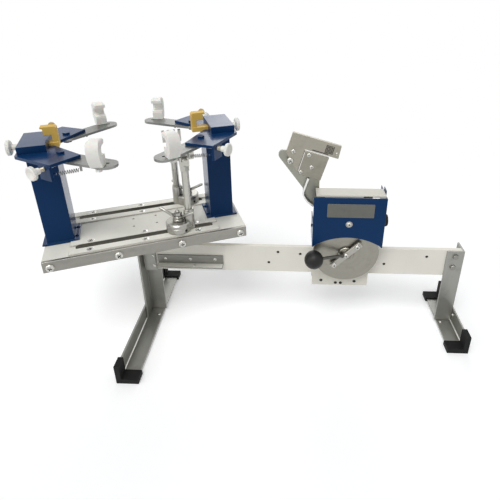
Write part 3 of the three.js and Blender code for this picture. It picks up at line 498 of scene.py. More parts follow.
# A darker copy of the mill aluminium for the bracket under the turntable: painted shade.
ALUMINIUM_SHADED = Metal("mill_aluminium_rail", (0.23, 0.228, 0.21), 0.42, corner_shade=0.15)
# A pale sheet laid on the bracket's lip: a painted highlight.
LIP_HIGHLIGHT = Metal("bright_lip_face", (0.80, 0.79, 0.73), 0.42, metallic=0.3, corner_shade=0.0, bright=1.1)
BAR_STEEL = Metal("drawn_bar_steel", (0.32, 0.31, 0.28), 0.42, ALONG_TABLE, grain=1.3)
ARM_ZINC = Metal("arm_zinc", (0.30, 0.305, 0.29), 0.38, ALONG_TABLE)
LEVER_ZINC = Metal("lever_zinc", (0.34, 0.34, 0.29), 0.42, UPRIGHT, grain=1.6)
GRIP_STEEL = Metal("grip_steel", (0.37, 0.35, 0.295), 0.42, GRIP_TILT, grain=1.4)
JAW_STEEL = Metal("jaw_steel", (0.31, 0.295, 0.25), 0.42, GRIP_TILT, grain=1.4)
LABEL_METAL = Metal("label_metal", (0.15, 0.152, 0.137), 0.4, grain=0.8, draw=5.0)
MACHINED = Metal("ground_steel", (0.36, 0.355, 0.33), 0.36)
# A dark band that lines the plate's slots: painted shade.
SLOT_SHADE = Metal("slot_wall_steel", (0.15, 0.143, 0.12), 0.5, corner_shade=0.2)
CRANK_BAR = Metal("crank_bar_steel", (0.42, 0.41, 0.37), 0.34, BAR_LEAN)
ROD_STEEL = Metal("crank_rod_steel", (0.11, 0.108, 0.10), 0.34)
# Pale strips on edges and in inner corners: painted highlights.
EDGE_HIGHLIGHT = Metal("ground_edge", (0.88, 0.87, 0.82), 0.34, bright=1.1, corner_shade=0.1)
KNURL_DARK = Metal("knurled_patch", (0.045, 0.043, 0.038), 0.42)
SPRING_WIRE = Metal("spring_wire", (0.10, 0.098, 0.09), 0.3, grain=0.5)
SCREW_ZINC = Metal("screw_zinc", (0.60, 0.59, 0.55), 0.26, grain=0.6, draw=1.0, corner_shade=0.95)
# Dark steel of black screws and pins, also laid as dark strips that paint the shade of screw recesses and the
# gripper's slot.
DARK_STEEL_AND_SHADE = Metal("screw_dark", (0.04, 0.04, 0.038), 0.4, grain=0.6, draw=1.0)
BOLT_STEEL = Metal("bolt_steel", (0.27, 0.265, 0.24), 0.34, grain=0.6, draw=1.0, corner_shade=0.9)
BRASS = Metal("brass_thread", (0.56, 0.50, 0.38), 0.34, grain=0.6, draw=1.0, corner_shade=0.8)
RUBBER = Moulded("black_rubber", (0.013, 0.0135, 0.013), 0.62, skin=0.05, scale=900.0, level=0.12)
BALL_BLACK = Moulded("ball_black", (0.010, 0.0105, 0.0095), 0.44, skin=0.01, scuff=0.03, level=0.3)
DIAL_BLACK = Moulded("dial_black", (0.010, 0.010, 0.010), 0.5, skin=0.03, level=0.25)
PAD_TAN = Moulded("tan_pad", (0.72, 0.47, 0.10), 0.5, skin=0.03)
NYLON = Moulded("white_nylon", (0.94, 0.92, 0.86), 0.5, skin=0.05, soft=0.15)
KNOB_WHITE = Moulded("white_plastic", (0.93, 0.915, 0.85), 0.42, skin=0.02, soft=0.08)


def placed(name: str, data: bpy.types.ID) -> bpy.types.Object:
    """An object of this data, linked into the scene."""
    made = bpy.data.objects.new(name, data)
    bpy.context.scene.collection.objects.link(made)
    return made


def kept(shape: bmesh.types.BMesh, name: str) -> bpy.types.Mesh:
    """A named mesh of what was drawn; the drawing is freed."""
    data = bpy.data.meshes.new(name)
    shape.to_mesh(data)
    shape.free()
    return data


def around(sides: int) -> List[Pair]:
    """Corners of a regular outline of radius 1, anticlockwise."""
    turns = [math.tau * i / sides for i in range(sides)]
    return [(math.cos(turn), math.sin(turn)) for turn in turns]


def arc(middle: Pair, radius: float, start: float, sweep: float, steps: int) -> List[Pair]:
    """Points on an arc.

    Args:
        middle: Its centre.
        radius: Its radius.
        start: Where it starts, in degrees.
        sweep: How far it goes, in degrees.
        steps: How many steps it has.

    Returns:
        The points, with both ends.
    """
    turns = [math.radians(start + sweep * step / steps) for step in range(steps + 1)]
    return [(middle[0] + radius * math.cos(turn), middle[1] + radius * math.sin(turn)) for turn in turns]


def skin(shape: bmesh.types.BMesh, rings: Sequence[Sequence[bmesh.types.BMVert]]) -> None:
    """Join each ring of corners to the next with faces.

    Args:
        shape: The drawing that holds the corners.
        rings: The rings in order; one with a single corner is a pole.
    """
    for low, high in zip(rings, rings[1:]):
        sides = max(len(low), len(high))
        for i in range(sides):
            j = (i + 1) % sides
            corners = [low[i % len(low)], low[j % len(low)], high[j % len(high)], high[i % len(high)]]
            unique = list(dict.fromkeys(corners))
            if len(unique) > 2:
                shape.faces.new(unique)


class Shaper:
    """Gathers closed shapes, drawn in millimetres in one place, into one mesh."""

    def __init__(self, place: Place, local: Optional[Matrix] = None) -> None:
        """Start an empty mesh.

        Args:
            place: The frame that the shapes are drawn in.
            local: A further frame inside that place, in millimetres.
        """
        self.mesh = bmesh.new()
        self.matrix = place.matrix() @ (local or Matrix())

    def turned(
        self, profile: Sequence[Pair], at: Sequence[float], axis: Sequence[float], sides: int = 48
    ) -> "Shaper":
        """Add a turned shape.

        Args:
            profile: Radius and height of each ring, from one end to the other; ends are closed.
            at: Where height 0 lies on the axis.
            axis: The way that heights run.
            sides: How many corners a ring has.

        Returns:
            This shaper.
        """
        aim = Vector(axis).normalized().to_track_quat("Z", "Y").to_matrix().to_4x4()
        place = Matrix.Translation(at) @ aim
        rings = []
        for radius, height in profile:
            corners = around(sides)[: sides if radius else 1]
            points = [place @ Vector((radius * x, radius * y, height)) for x, y in corners]
            rings.append([self.mesh.verts.new(point) for point in points])
        for end in (rings[0], rings[-1]):
            if len(end) > 1:
                self.mesh.faces.new(end)
        skin(self.mesh, rings)
        return self

    def slab(
        self, points: Sequence[Pair], low: float, high: float, local: Optional[Matrix] = None
    ) -> "Shaper":
        """Add a prism over an outline drawn in x and y.

        Args:
            points: The outline.
            low: Where it starts in z.
            high: Where it ends in z.
            local: A frame that the prism is set by.

        Returns:
            This shaper.
        """
        local = local or Matrix()
        floor = [self.mesh.verts.new(local @ Vector((x, y, low))) for x, y in points]
        roof = [self.mesh.verts.new(local @ Vector((x, y, high))) for x, y in points]
        self.mesh.faces.new(list(reversed(floor)))
        self.mesh.faces.new(roof)
        skin(self.mesh, [floor, roof])
        return self

    def band(self, outer: Sequence[Pair], inner: Sequence[Pair], low: float, high: float) -> "Shaper":
        """Add an upright wall.

        Args:
            outer: Its outer outline.
            inner: Its inner outline, of as many points.
            low: Its foot.
            high: Its top.

        Returns:
            This shaper.
        """
        loops = [
            [self.mesh.verts.new((x, y, level)) for x, y in outline]
            for outline, level in ((outer, low), (outer, high), (inner, high), (inner, low))
        ]
        skin(self.mesh, [*loops, loops[0]])
        return self


    def thread(
        self,
        radius: float,
        depth: float,
        pitch: float,
        low: Sequence[float],
        high: Sequence[float],
        sides: int = 24,
        rings_a_turn: int = 6,
    ) -> "Shaper":
        """Add a rod with a screw thread.

        Args:
            radius: The crest's radius.
            depth: How deep the thread is cut.
            pitch: The way from crest to crest.
            low: Where the rod starts.
            high: Where it ends.
            sides: How many corners a ring has.
            rings_a_turn: How many rings each turn of the thread has.

        Returns:
            This shaper.
        """
        run = Vector(high) - Vector(low)
        aim = Matrix.Translation(low) @ run.normalized().to_track_quat("Z", "Y").to_matrix().to_4x4()
        steps = max(4, int(run.length / pitch * rings_a_turn))
        rings = []
        for i in range(steps + 1):
            height = run.length * i / steps
            ring = []
            for k, (x, y) in enumerate(around(sides)):
                share = (height / pitch - k / sides) % 1.0
                cut = radius - depth * abs(2 * share - 1)
                ring.append(self.mesh.verts.new(aim @ Vector((cut * x, cut * y, height))))
            rings.append(ring)
        skin(self.mesh, rings)
        self.mesh.faces.new(list(reversed(rings[0])))
        self.mesh.faces.new(rings[-1])
        return self

    def finish(
        self,
        name: str,
        body: str,
        finish: Finish,
        slot: str = "",
        bevel: float = 0.0,
        replaces: Sequence[str] = (),
    ) -> bpy.types.Object:
        """Turn the shapes into a finished piece.

        Args:
            name: The piece's name.
            body: The CAD body that it rides on.
            finish: Its finish.
            slot: The record's material slot, where it has one; not used.
            bevel: Width of its rounded edges in millimetres.
            replaces: CAD nodes that it stands for.

        Returns:
            The piece.
        """
        bmesh.ops.recalc_face_normals(self.mesh, faces=self.mesh.faces[:])
        self.mesh.transform(self.matrix)
        return dress(name, kept(self.mesh, name), body, finish, bevel, replaces)


def dress(
    name: str,
    data: bpy.types.Mesh,
    body: str,
    finish: Finish,
    bevel: float = 0.0,
    replaces: Sequence[str] = (),
) -> bpy.types.Object:
    """Make an object of a mesh, round its edges, give it its finish and set it on its body.

    Args:
        name: The piece's name.
        data: Its mesh, in the row frame.
        body: The CAD body that it rides on, or an empty name for a piece that is set on no body.
        finish: Its finish.
        bevel: Width of its rounded edges in millimetres, or 0.
        replaces: CAD nodes that it stands for.

    Returns:
        The piece.
    """
    made = placed(name, data)
    data.polygons.foreach_set("use_smooth", [True] * len(data.polygons))
    data.set_sharp_from_angle(angle=SHARP_TURN)
    if bevel > 0:
        round_edges(made, bevel)
    made.data.materials.clear()
    made.data.materials.append(finish.material())
    if body:
        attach(made, body)
    if replaces:
        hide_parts(*replaces)
    LOG.info("piece %s on %s, %d faces", name, body, len(made.data.polygons))
    return made


def round_edges(piece: bpy.types.Object, width: float) -> None:
    """Round a piece's sharp edges and settle the result as a plain mesh.

    Args:
        piece: The piece.
        width: The rounding's width in millimetres.
    """
    bevel = piece.modifiers.new("round", "BEVEL")
    bevel.width = width * MILLI
    bevel.segments = 2
    bevel.limit_method = "ANGLE"
    bevel.angle_limit = SHARP_TURN
    bevel.use_clamp_overlap = True
    weigh = piece.modifiers.new("weigh", "WEIGHTED_NORMAL")
    weigh.keep_sharp = True
    settle(piece)


def settle(piece: bpy.types.Object) -> None:
    """Replace a piece's mesh by what its modifiers make of it, and remove them."""
    graph = bpy.context.evaluated_depsgraph_get()
    made = bpy.data.meshes.new_from_object(
        piece.evaluated_get(graph), preserve_all_data_layers=True, depsgraph=graph
    )
    piece.modifiers.clear()
    made.name = piece.name
    piece.data = made


def merged_copy(node: str, name: str) -> bpy.types.Mesh:
    """A copy of a CAD node's mesh with its doubles merged and its flat faces joined."""
    shape = bmesh.new()
    shape.from_mesh(frame["nodes"][node].data)
    bmesh.ops.remove_doubles(shape, verts=shape.verts[:], dist=MERGE_REACH)
    bmesh.ops.dissolve_limit(shape, angle_limit=FLAT_TURN, verts=shape.verts[:], edges=shape.edges[:])
    return kept(shape, name)


def stretched(node: str, place: Place) -> bpy.types.Object:
    """Stand a spring in for a CAD node, set on no body.

    Args:
        node: The CAD node.
        place: A frame whose matrix is taken but not used.

    Returns:
        The piece.
    """
    name = f"{node}_shape"
    made = dress(name, merged_copy(node, name), "", SPRING_WIRE, 0.0, [node])
    matrix = place.matrix()
    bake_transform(made)
    return made


def rounded(node: str, finish: Finish, slot: str, bevel: float) -> bpy.types.Object:
    """Stand a copy with rounded edges in for a CAD node.

    Args:
        node: The CAD node.
        finish: The piece's finish.
        slot: The record's material slot; not used.
        bevel: Width of its rounded edges in millimetres.

    Returns:
        The piece.
    """
    name = f"{node}_shape"
    return dress(name, merged_copy(node, name), frame["nodes"][node]["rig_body"], finish, bevel, [node])


class Head(Enum):
    """Kinds of head, with a knob's rib and a dark cross that paints the shade in a flat head's recess."""

    PAN = "pan"
    HEX = "hex"
    BUTTON = "button"
    RIB = "rib"
    FLAT = "flat"
    CROSS = "cross"


CROSS_OUTLINE = [(0.56, -0.14), (0.56, 0.14), (0.14, 0.14), (0.14, 0.56), (-0.14, 0.56), (-0.14, 0.14),
                 (-0.56, 0.14), (-0.56, -0.14), (-0.14, -0.14), (-0.14, -0.56), (0.14, -0.56), (0.14, -0.14)]
SOCKET_RADIUS = 0.45
HEAD_PROFILES = {
    Head.PAN: [(1.0, -0.05), (1.0, 0.12), (0.94, 0.3), (0.78, 0.47), (0.5, 0.58), (0.0, 0.62)],
    Head.HEX: [(1.05, -0.05), (1.05, 0.5), (0.96, 0.62), (0.0, 0.64)],
    Head.BUTTON: [(1.0, -0.05), (1.0, 0.25), (0.92, 0.42), (0.7, 0.55), (0.0, 0.6)],
    Head.RIB: [(0.4, -3.2), (0.9, -2.8), (1.0, -2.3), (1.0, 2.3), (0.9, 2.8), (0.4, 3.2)],
    Head.FLAT: [(1.0, -0.05), (1.0, 0.012), (0.94, 0.035), (0.0, 0.035)],
    Head.CROSS: [(1.0, 0.0), (1.0, 0.048)],
}
HEAD_SIDES = {Head.PAN: 20, Head.HEX: 6, Head.BUTTON: 20, Head.RIB: 8, Head.FLAT: 28}


@dataclass(frozen=True)
class Fastener:
    """A screw head or rib on a face: where its seat is, which way it points and its radius."""

    at: Point
    aim: Point
    radius: float


def head_template(kind: Head) -> bpy.types.Object:
    """A head of about radius 1 that stands on z 0, or a rib centred there, made once.

    Args:
        kind: Which head.

    Returns:
        The template object, which isn't shown.
    """
    name = f"template_{kind.value}"
    found = bpy.data.objects.get(name)
    if found:
        return found
    shape = bmesh.new()
    outline = CROSS_OUTLINE if kind is Head.CROSS else around(HEAD_SIDES[kind])
    rings = []
    for radius, height in HEAD_PROFILES[kind]:
        corners = outline[: len(outline) if radius else 1]
        rings.append([shape.verts.new((radius * x, radius * y, height)) for x, y in corners])
    shape.faces.new(list(reversed(rings[0])))
    if len(rings[-1]) > 1:
        shape.faces.new(rings[-1])
    skin(shape, rings)
    data = kept(shape, name)
    if kind in (Head.PAN, Head.BUTTON):
        data = carve_recess(data, kind)
    template = placed(name, data)
    template.hide_render = True
    template.hide_viewport = True
    return template


def carve_recess(plain: bpy.types.Mesh, kind: Head) -> bpy.types.Mesh:
    """Cut a cross or a six-sided socket in a head.

    Args:
        plain: The head's mesh without it.
        kind: PAN takes a cross, BUTTON a socket.

    Returns:
        The head's mesh with it.
    """
    shape = bmesh.new()
    socket = [(SOCKET_RADIUS * x, SOCKET_RADIUS * y) for x, y in around(6)]
    outline = CROSS_OUTLINE if kind is Head.PAN else socket
    floor = [shape.verts.new((x * 0.6, y * 0.6, 0.22)) for x, y in outline]
    roof = [shape.verts.new((x * 1.15, y * 1.15, 0.8)) for x, y in outline]
    shape.faces.new(list(reversed(floor)))
    shape.faces.new(roof)
    skin(shape, [floor, roof])
    bmesh.ops.recalc_face_normals(shape, faces=shape.faces[:])
    head, tool = placed("recess_head", plain), placed("recess_tool", kept(shape, "recess_tool"))
    cut = head.modifiers.new("recess", "BOOLEAN")
    cut.operation = "DIFFERENCE"
    cut.solver = "EXACT"
    cut.object = tool
    settle(head)
    carved = head.data
    for part in (head, tool):
        bpy.data.objects.remove(part)
    return carved


def fastener_tree() -> bpy.types.GeometryNodeTree:
    """The node tree that sets a head on each point, made once.

    Returns:
        The tree: inputs Points, Head, Spread, Seed and Finish.
    """
    found = bpy.data.node_groups.get("set_fasteners")
    if found:
        return found
    tree = bpy.data.node_groups.new("set_fasteners", "GeometryNodeTree")
    for label, kind in (
        ("Points", "NodeSocketGeometry"),
        ("Head", "NodeSocketObject"),
        ("Spread", "NodeSocketFloat"),
        ("Seed", "NodeSocketInt"),
        ("Finish", "NodeSocketMaterial"),
    ):
        tree.interface.new_socket(label, in_out="INPUT", socket_type=kind)
    tree.interface.new_socket("Screws", in_out="OUTPUT", socket_type="NodeSocketGeometry")
    new, link = tree.nodes.new, tree.links.new
    given, result = new("NodeGroupInput"), new("NodeGroupOutput")
    aim, size = new("GeometryNodeInputNamedAttribute"), new("GeometryNodeInputNamedAttribute")
    aim.data_type, size.data_type = "FLOAT_VECTOR", "FLOAT"
    aim.inputs["Name"].default_value, size.inputs["Name"].default_value = "aim", "size"
    align = new("FunctionNodeAlignRotationToVector")
    align.axis = "Z"
    spin = new("FunctionNodeRandomValue")
    spin.data_type = "FLOAT"
    euler = new("ShaderNodeCombineXYZ")
    rotate = new("FunctionNodeRotateRotation")
    rotate.rotation_space = "LOCAL"
    head, put = new("GeometryNodeObjectInfo"), new("GeometryNodeInstanceOnPoints")
    real, dressed = new("GeometryNodeRealizeInstances"), new("GeometryNodeSetMaterial")
    turn = new("FunctionNodeEulerToRotation")
    link(given.outputs["Head"], head.inputs["Object"])
    link(aim.outputs["Attribute"], align.inputs["Vector"])
    link(given.outputs["Spread"], spin.inputs[3])
    link(given.outputs["Seed"], spin.inputs["Seed"])
    link(spin.outputs[1], euler.inputs["Z"])
    link(euler.outputs["Vector"], turn.inputs["Euler"])
    link(align.outputs["Rotation"], rotate.inputs["Rotation"])
    link(turn.outputs["Rotation"], rotate.inputs["Rotate By"])
    link(given.outputs["Points"], put.inputs["Points"])
    link(head.outputs["Geometry"], put.inputs["Instance"])
    link(rotate.outputs["Rotation"], put.inputs["Rotation"])
    link(size.outputs["Attribute"], put.inputs["Scale"])
    link(put.outputs["Instances"], real.inputs["Geometry"])
    link(real.outputs["Geometry"], dressed.inputs["Geometry"])
    link(given.outputs["Finish"], dressed.inputs["Material"])
    link(dressed.outputs["Geometry"], result.inputs["Screws"])
    return tree


def set_inputs(modifier: bpy.types.NodesModifier, values: Mapping[str, object]) -> None:
    """Set a node modifier's inputs by the identifiers of their sockets."""
    for item in modifier.node_group.interface.items_tree:
        if item.item_type == "SOCKET" and item.in_out == "INPUT" and item.name in values:
            modifier[item.identifier] = values[item.name]


def fasten(
    name: str,
    body: str,
    place: Place,
    screws: Iterable[Fastener],
    kind: Head = Head.PAN,
    finish: Finish = SCREW_ZINC,
) -> bpy.types.Object:
    """Set screw heads on a body with Geometry Nodes.

    Args:
        name: The piece's name.
        body: The CAD body that it rides on.
        place: The frame that the screws' places are drawn in.
        screws: The screws.
        kind: Which head.
        finish: The heads' finish.

    Returns:
        The piece, as a plain mesh.
    """
    screws, template = list(screws), head_template(kind)
    matrix = place.matrix()
    turn = matrix.to_3x3().normalized()
    data = bpy.data.meshes.new(name)
    data.from_pydata([matrix @ Vector(screw.at) for screw in screws], [], [])
    aims = [turn @ Vector(screw.aim).normalized() for screw in screws]
    aim = data.attributes.new("aim", "FLOAT_VECTOR", "POINT")
    aim.data.foreach_set("vector", [part for way in aims for part in way])
    size = data.attributes.new("size", "FLOAT", "POINT")
    size.data.foreach_set("value", [screw.radius * MILLI for screw in screws])
    made = placed(name, data)
    setter = made.modifiers.new("set_fasteners", "NODES")
    setter.node_group = fastener_tree()
    set_inputs(setter, {"Head": template, "Spread": math.tau, "Seed": 7, "Finish": finish.material()})
    settle(made)
    made.data.polygons.foreach_set("use_smooth", [True] * len(made.data.polygons))
    made.data.set_sharp_from_angle(angle=HEAD_SHARP_TURN)
    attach(made, body)
    LOG.info("piece %s on %s, %d screws, %d faces", name, body, len(screws), len(made.data.polygons))
    return made


FRONT: Point = (0.0, -1.0, 0.0)
BACK: Point = (0.0, 1.0, 0.0)
LEFT: Point = (-1.0, 0.0, 0.0)
RIGHT: Point = (1.0, 0.0, 0.0)
UP: Point = (0.0, 0.0, 1.0)


def stadium(reach: float, y: float, half: float) -> List[Pair]:
    """A slot's outline with round ends.

    Args:
        reach: Where the middles of its round ends lie, in x either way.
        y: Its middle line.
        half: Half its width.

    Returns:
        Its points, anticlockwise.
    """
    return [point for way in (1, -1) for point in arc((way * reach, y), half, -90 * way, 180, 12)]


FRONT_VIEW = Matrix.Rotation(math.pi / 2, 4, "X")


def soft_rectangle(x0: float, x1: float, y0: float, y1: float, corner: float) -> List[Pair]:
    """A rectangle's outline with round corners.

    Args:
        x0: Left side.
        x1: Right side.
        y0: Lower side.
        y1: Upper side.
        corner: Radius of its corners.

    Returns:
        Its points, anticlockwise.
    """
    points = []
    for x, y, start in ((x1, y0, -90), (x1, y1, 0), (x0, y1, 90), (x0, y0, 180)):
        across, along = x - (x0 + x1) / 2, y - (y0 + y1) / 2
        middle = (x - math.copysign(corner, across), y - math.copysign(corner, along))
        points += arc(middle, corner, start, 90, 4)
    return points


@dataclass
class Base:
    """Rail, legs, feet, caps, bracket and bearing."""

    leg_round: float = 0.5
    rail_round: float = 0.7
    cap_round: float = 1.6
    bracket_round: float = 0.4
    rack_round: float = 0.15
    bracket_xs: Tuple[float, ...] = (30.1, 74.5, 118.9)
    bracket_face: float = -6.3
    bracket_z: float = 129.9
    front_head: float = 3.2
    cheek_zs: Pair = (136.0, 115.5)
    cheek_front: Pair = (8.0, -8.3)
    cheek_back: Pair = (2.0, 11.6)
    back_head: float = 3.6
    lip_sides: Tuple[float, float, float, float] = (16.6, 132.4, -17.8, -6.4)
    lip_corner: float = 0.4
    lip_levels: Pair = (120.3, 120.62)
    lip_screw: Fastener = Fastener((82.0, -12.4, 120.6), UP, 2.0)
    leg_bolts: Tuple[Pair, ...] = ((536.8, 125.5), (538.4, 147.4))
    leg_faces: Pair = (-7.3, 4.0)
    bolt_head: float = 4.9
    rail_screws: Tuple[Pair, ...] = (
        (214.6, 125.0), (230.8, 147.1), (270.1, 144.0), (418.0, 126.8), (490.3, 144.0)
    )
    rail_seat: float = -2.5
    rail_head: float = 2.5
    foot_corners: Tuple[Tuple[float, int, float, float], ...] = (
        (-14.3, -1, -146.0, 104.0), (553.3, 1, -66.0, 56.0)
    )
    corner_profile: Tuple[Pair, ...] = ((0.0, 5.7), (1.7, 5.7), (0.8, 6.1), (0.3, 6.7), (0.0, 7.5))
    foot_screws: Tuple[Fastener, ...] = (
        Fastener((-17.3, -15.0, 21.0), LEFT, 3.0),
        Fastener((-17.3, 0.0, 21.0), LEFT, 3.0),
        Fastener((556.3, 0.0, 21.0), RIGHT, 3.0),
        Fastener((556.3, 15.0, 21.0), RIGHT, 3.0),
        Fastener((533.0, -12.0, 5.8), UP, 2.8),
        Fastener((553.3, -11.0, 22.0), LEFT, 2.8),
        Fastener((6.0, -12.0, 5.8), UP, 2.8),
        Fastener((-14.3, -11.0, 22.0), RIGHT, 2.8),
    )

    def build(self) -> None:
        """Make and dress the base."""
        rounded("rail", RAIL_CREAM_LIT, "cream_paint", self.rail_round)
        for side in ("left", "right"):
            rounded(f"{side}_leg", ALUMINIUM, "angle_aluminium", self.leg_round)
            rounded(f"{side}_foot", ALUMINIUM_LONG, "angle_aluminium", self.leg_round)
            for end in ("front", "back"):
                rounded(f"{side}_{end}_cap", RUBBER, "cap_rubber", self.cap_round)
        rounded("table_bracket", ALUMINIUM_SHADED, "angle_aluminium", self.bracket_round)
        rounded("table_bearing", ALUMINIUM, "angle_aluminium", self.leg_round)
        rounded("rail_rack", MACHINED, "machined_steel", self.rack_round)
        self.highlight_faces()
        self.screws()

    def highlight_faces(self) -> None:
        """Make pale faces on the bracket's lip and in the round inner corners of the feet: painted
        highlights.
        """
        lip = Shaper(Place.MACHINE)
        lip.slab(soft_rectangle(*self.lip_sides, self.lip_corner), *self.lip_levels)
        lip.finish("bracket_lip_face", "base", LIP_HIGHLIGHT, "", 0.1)
        # Pale strips in the feet's inner corners: painted highlights.
        corners = Shaper(Place.MACHINE)
        for wall, way, front, back in self.foot_corners:
            outline = [(wall - way * inset, z) for inset, z in self.corner_profile]
            corners.slab(outline, -back, -front, FRONT_VIEW)
        corners.finish("foot_inner_corners", "base", EDGE_HIGHLIGHT)

    def screws(self) -> None:
        """Set the base's screws."""
        y, z = self.bracket_face, self.bracket_z
        heads = [Fastener((x, y, z), FRONT, self.front_head) for x in self.bracket_xs]
        heads += [Fastener((*self.cheek_front, z), FRONT, self.front_head) for z in self.cheek_zs]
        heads.append(self.lip_screw)
        heads += [Fastener((*self.cheek_back, z), BACK, self.back_head) for z in self.cheek_zs]
        fasten("base_screws", "base", Place.MACHINE, heads)
        front, back = self.leg_faces
        legs = [Fastener((x, front, z), FRONT, self.bolt_head) for x, z in self.leg_bolts]
        legs += [Fastener((x, back, z), BACK, self.bolt_head) for x, z in self.leg_bolts]
        fasten("leg_screws", "base", Place.MACHINE, legs, Head.HEX, BOLT_STEEL)
        fasten("foot_screws", "base", Place.MACHINE, self.foot_screws)
        sunk = [Fastener((x, self.rail_seat, z), FRONT, self.rail_head) for x, z in self.rail_screws]
        fasten("rail_screws", "base", Place.MACHINE, sunk, Head.BUTTON, KNURL_DARK)


@dataclass
class Turntable:
    """Slotted plate, bars, posts and heads."""

    spindle_round: float = 0.4
    plate_round: float = 0.6
    bar_round: float = 0.5
    post_round: float = 1.2
    head_round: float = 1.0
    strip_xs: Tuple[float, ...] = (-86.0, -3.0, 82.0)
    strip_ys: Tuple[float, ...] = (35.5, 60.5)
    strip_top: float = 204.0
    strip_head: float = 5.2
    bar_xs: Tuple[float, ...] = (-143.5, -45.5, 52.5, 150.5)
    bar_face: float = 73.3
    bar_z: float = 191.0
    bar_head: float = 6.6
    flange_at: Point = (107.0, 14.0, 204.8)
    flange_head: float = 3.0
    slot_reach: float = 102.0
    slot_offset: float = 48.0
    slot_half: float = 6.0
    slot_insets: Pair = (0.03, 0.33)
    slot_levels: Pair = (196.0, 203.5)

    def build(self) -> None:
        """Make and dress the turntable."""
        rounded("table_spindle", MACHINED, "machined_steel", self.spindle_round)
        rounded("table_plate", PLATE_CREAM, "cream_plate", self.plate_round)
        for end in ("front", "back"):
            rounded(f"{end}_bar", BAR_STEEL, "bar_steel", self.bar_round)
        for side in ("left", "right"):
            rounded(f"{side}_post", BLUE, "blue_paint", self.post_round)
            rounded(f"{side}_head", BLUE, "blue_paint", self.head_round)
        self.slot_walls()
        self.screws()

    def slot_walls(self) -> None:
        """Line the slots with a dark band: painted shade inside them."""
        walls = Shaper(Place.TURNTABLE)
        for side in (-1, 1):
            middle = side * self.slot_offset
            loops = [stadium(self.slot_reach, middle, self.slot_half - inset) for inset in self.slot_insets]
            walls.band(*loops, *self.slot_levels)
        walls.finish("slot_walls", "turntable", SLOT_SHADE)

    def screws(self) -> None:
        """Set the screws of the plate, bars and posts."""
        strips = [
            Fastener((x, side * y, self.strip_top), UP, self.strip_head)
            for side in (-1, 1)
            for y in self.strip_ys
            for x in self.strip_xs
        ]
        fasten("strip_screws", "turntable", Place.TURNTABLE, strips, Head.FLAT)
        # Dark crosses on the flat heads: painted shade of their recesses.
        fasten("strip_screw_slots", "turntable", Place.TURNTABLE, strips, Head.CROSS, DARK_STEEL_AND_SHADE)
        bars = [Fastener((x, -self.bar_face, self.bar_z), FRONT, self.bar_head) for x in self.bar_xs]
        bars += [Fastener((x, self.bar_face, self.bar_z), BACK, self.bar_head) for x in self.bar_xs]
        fasten("bar_screws", "turntable", Place.TURNTABLE, bars)
        x, y, z = self.flange_at
        flanges = [
            Fastener((side * x, way * y, z), UP, self.flange_head)
            for side in (-1, 1)
            for way in (-1, 1)
        ]
        fasten("flange_screws", "turntable", Place.TURNTABLE, flanges, finish=BLUE)


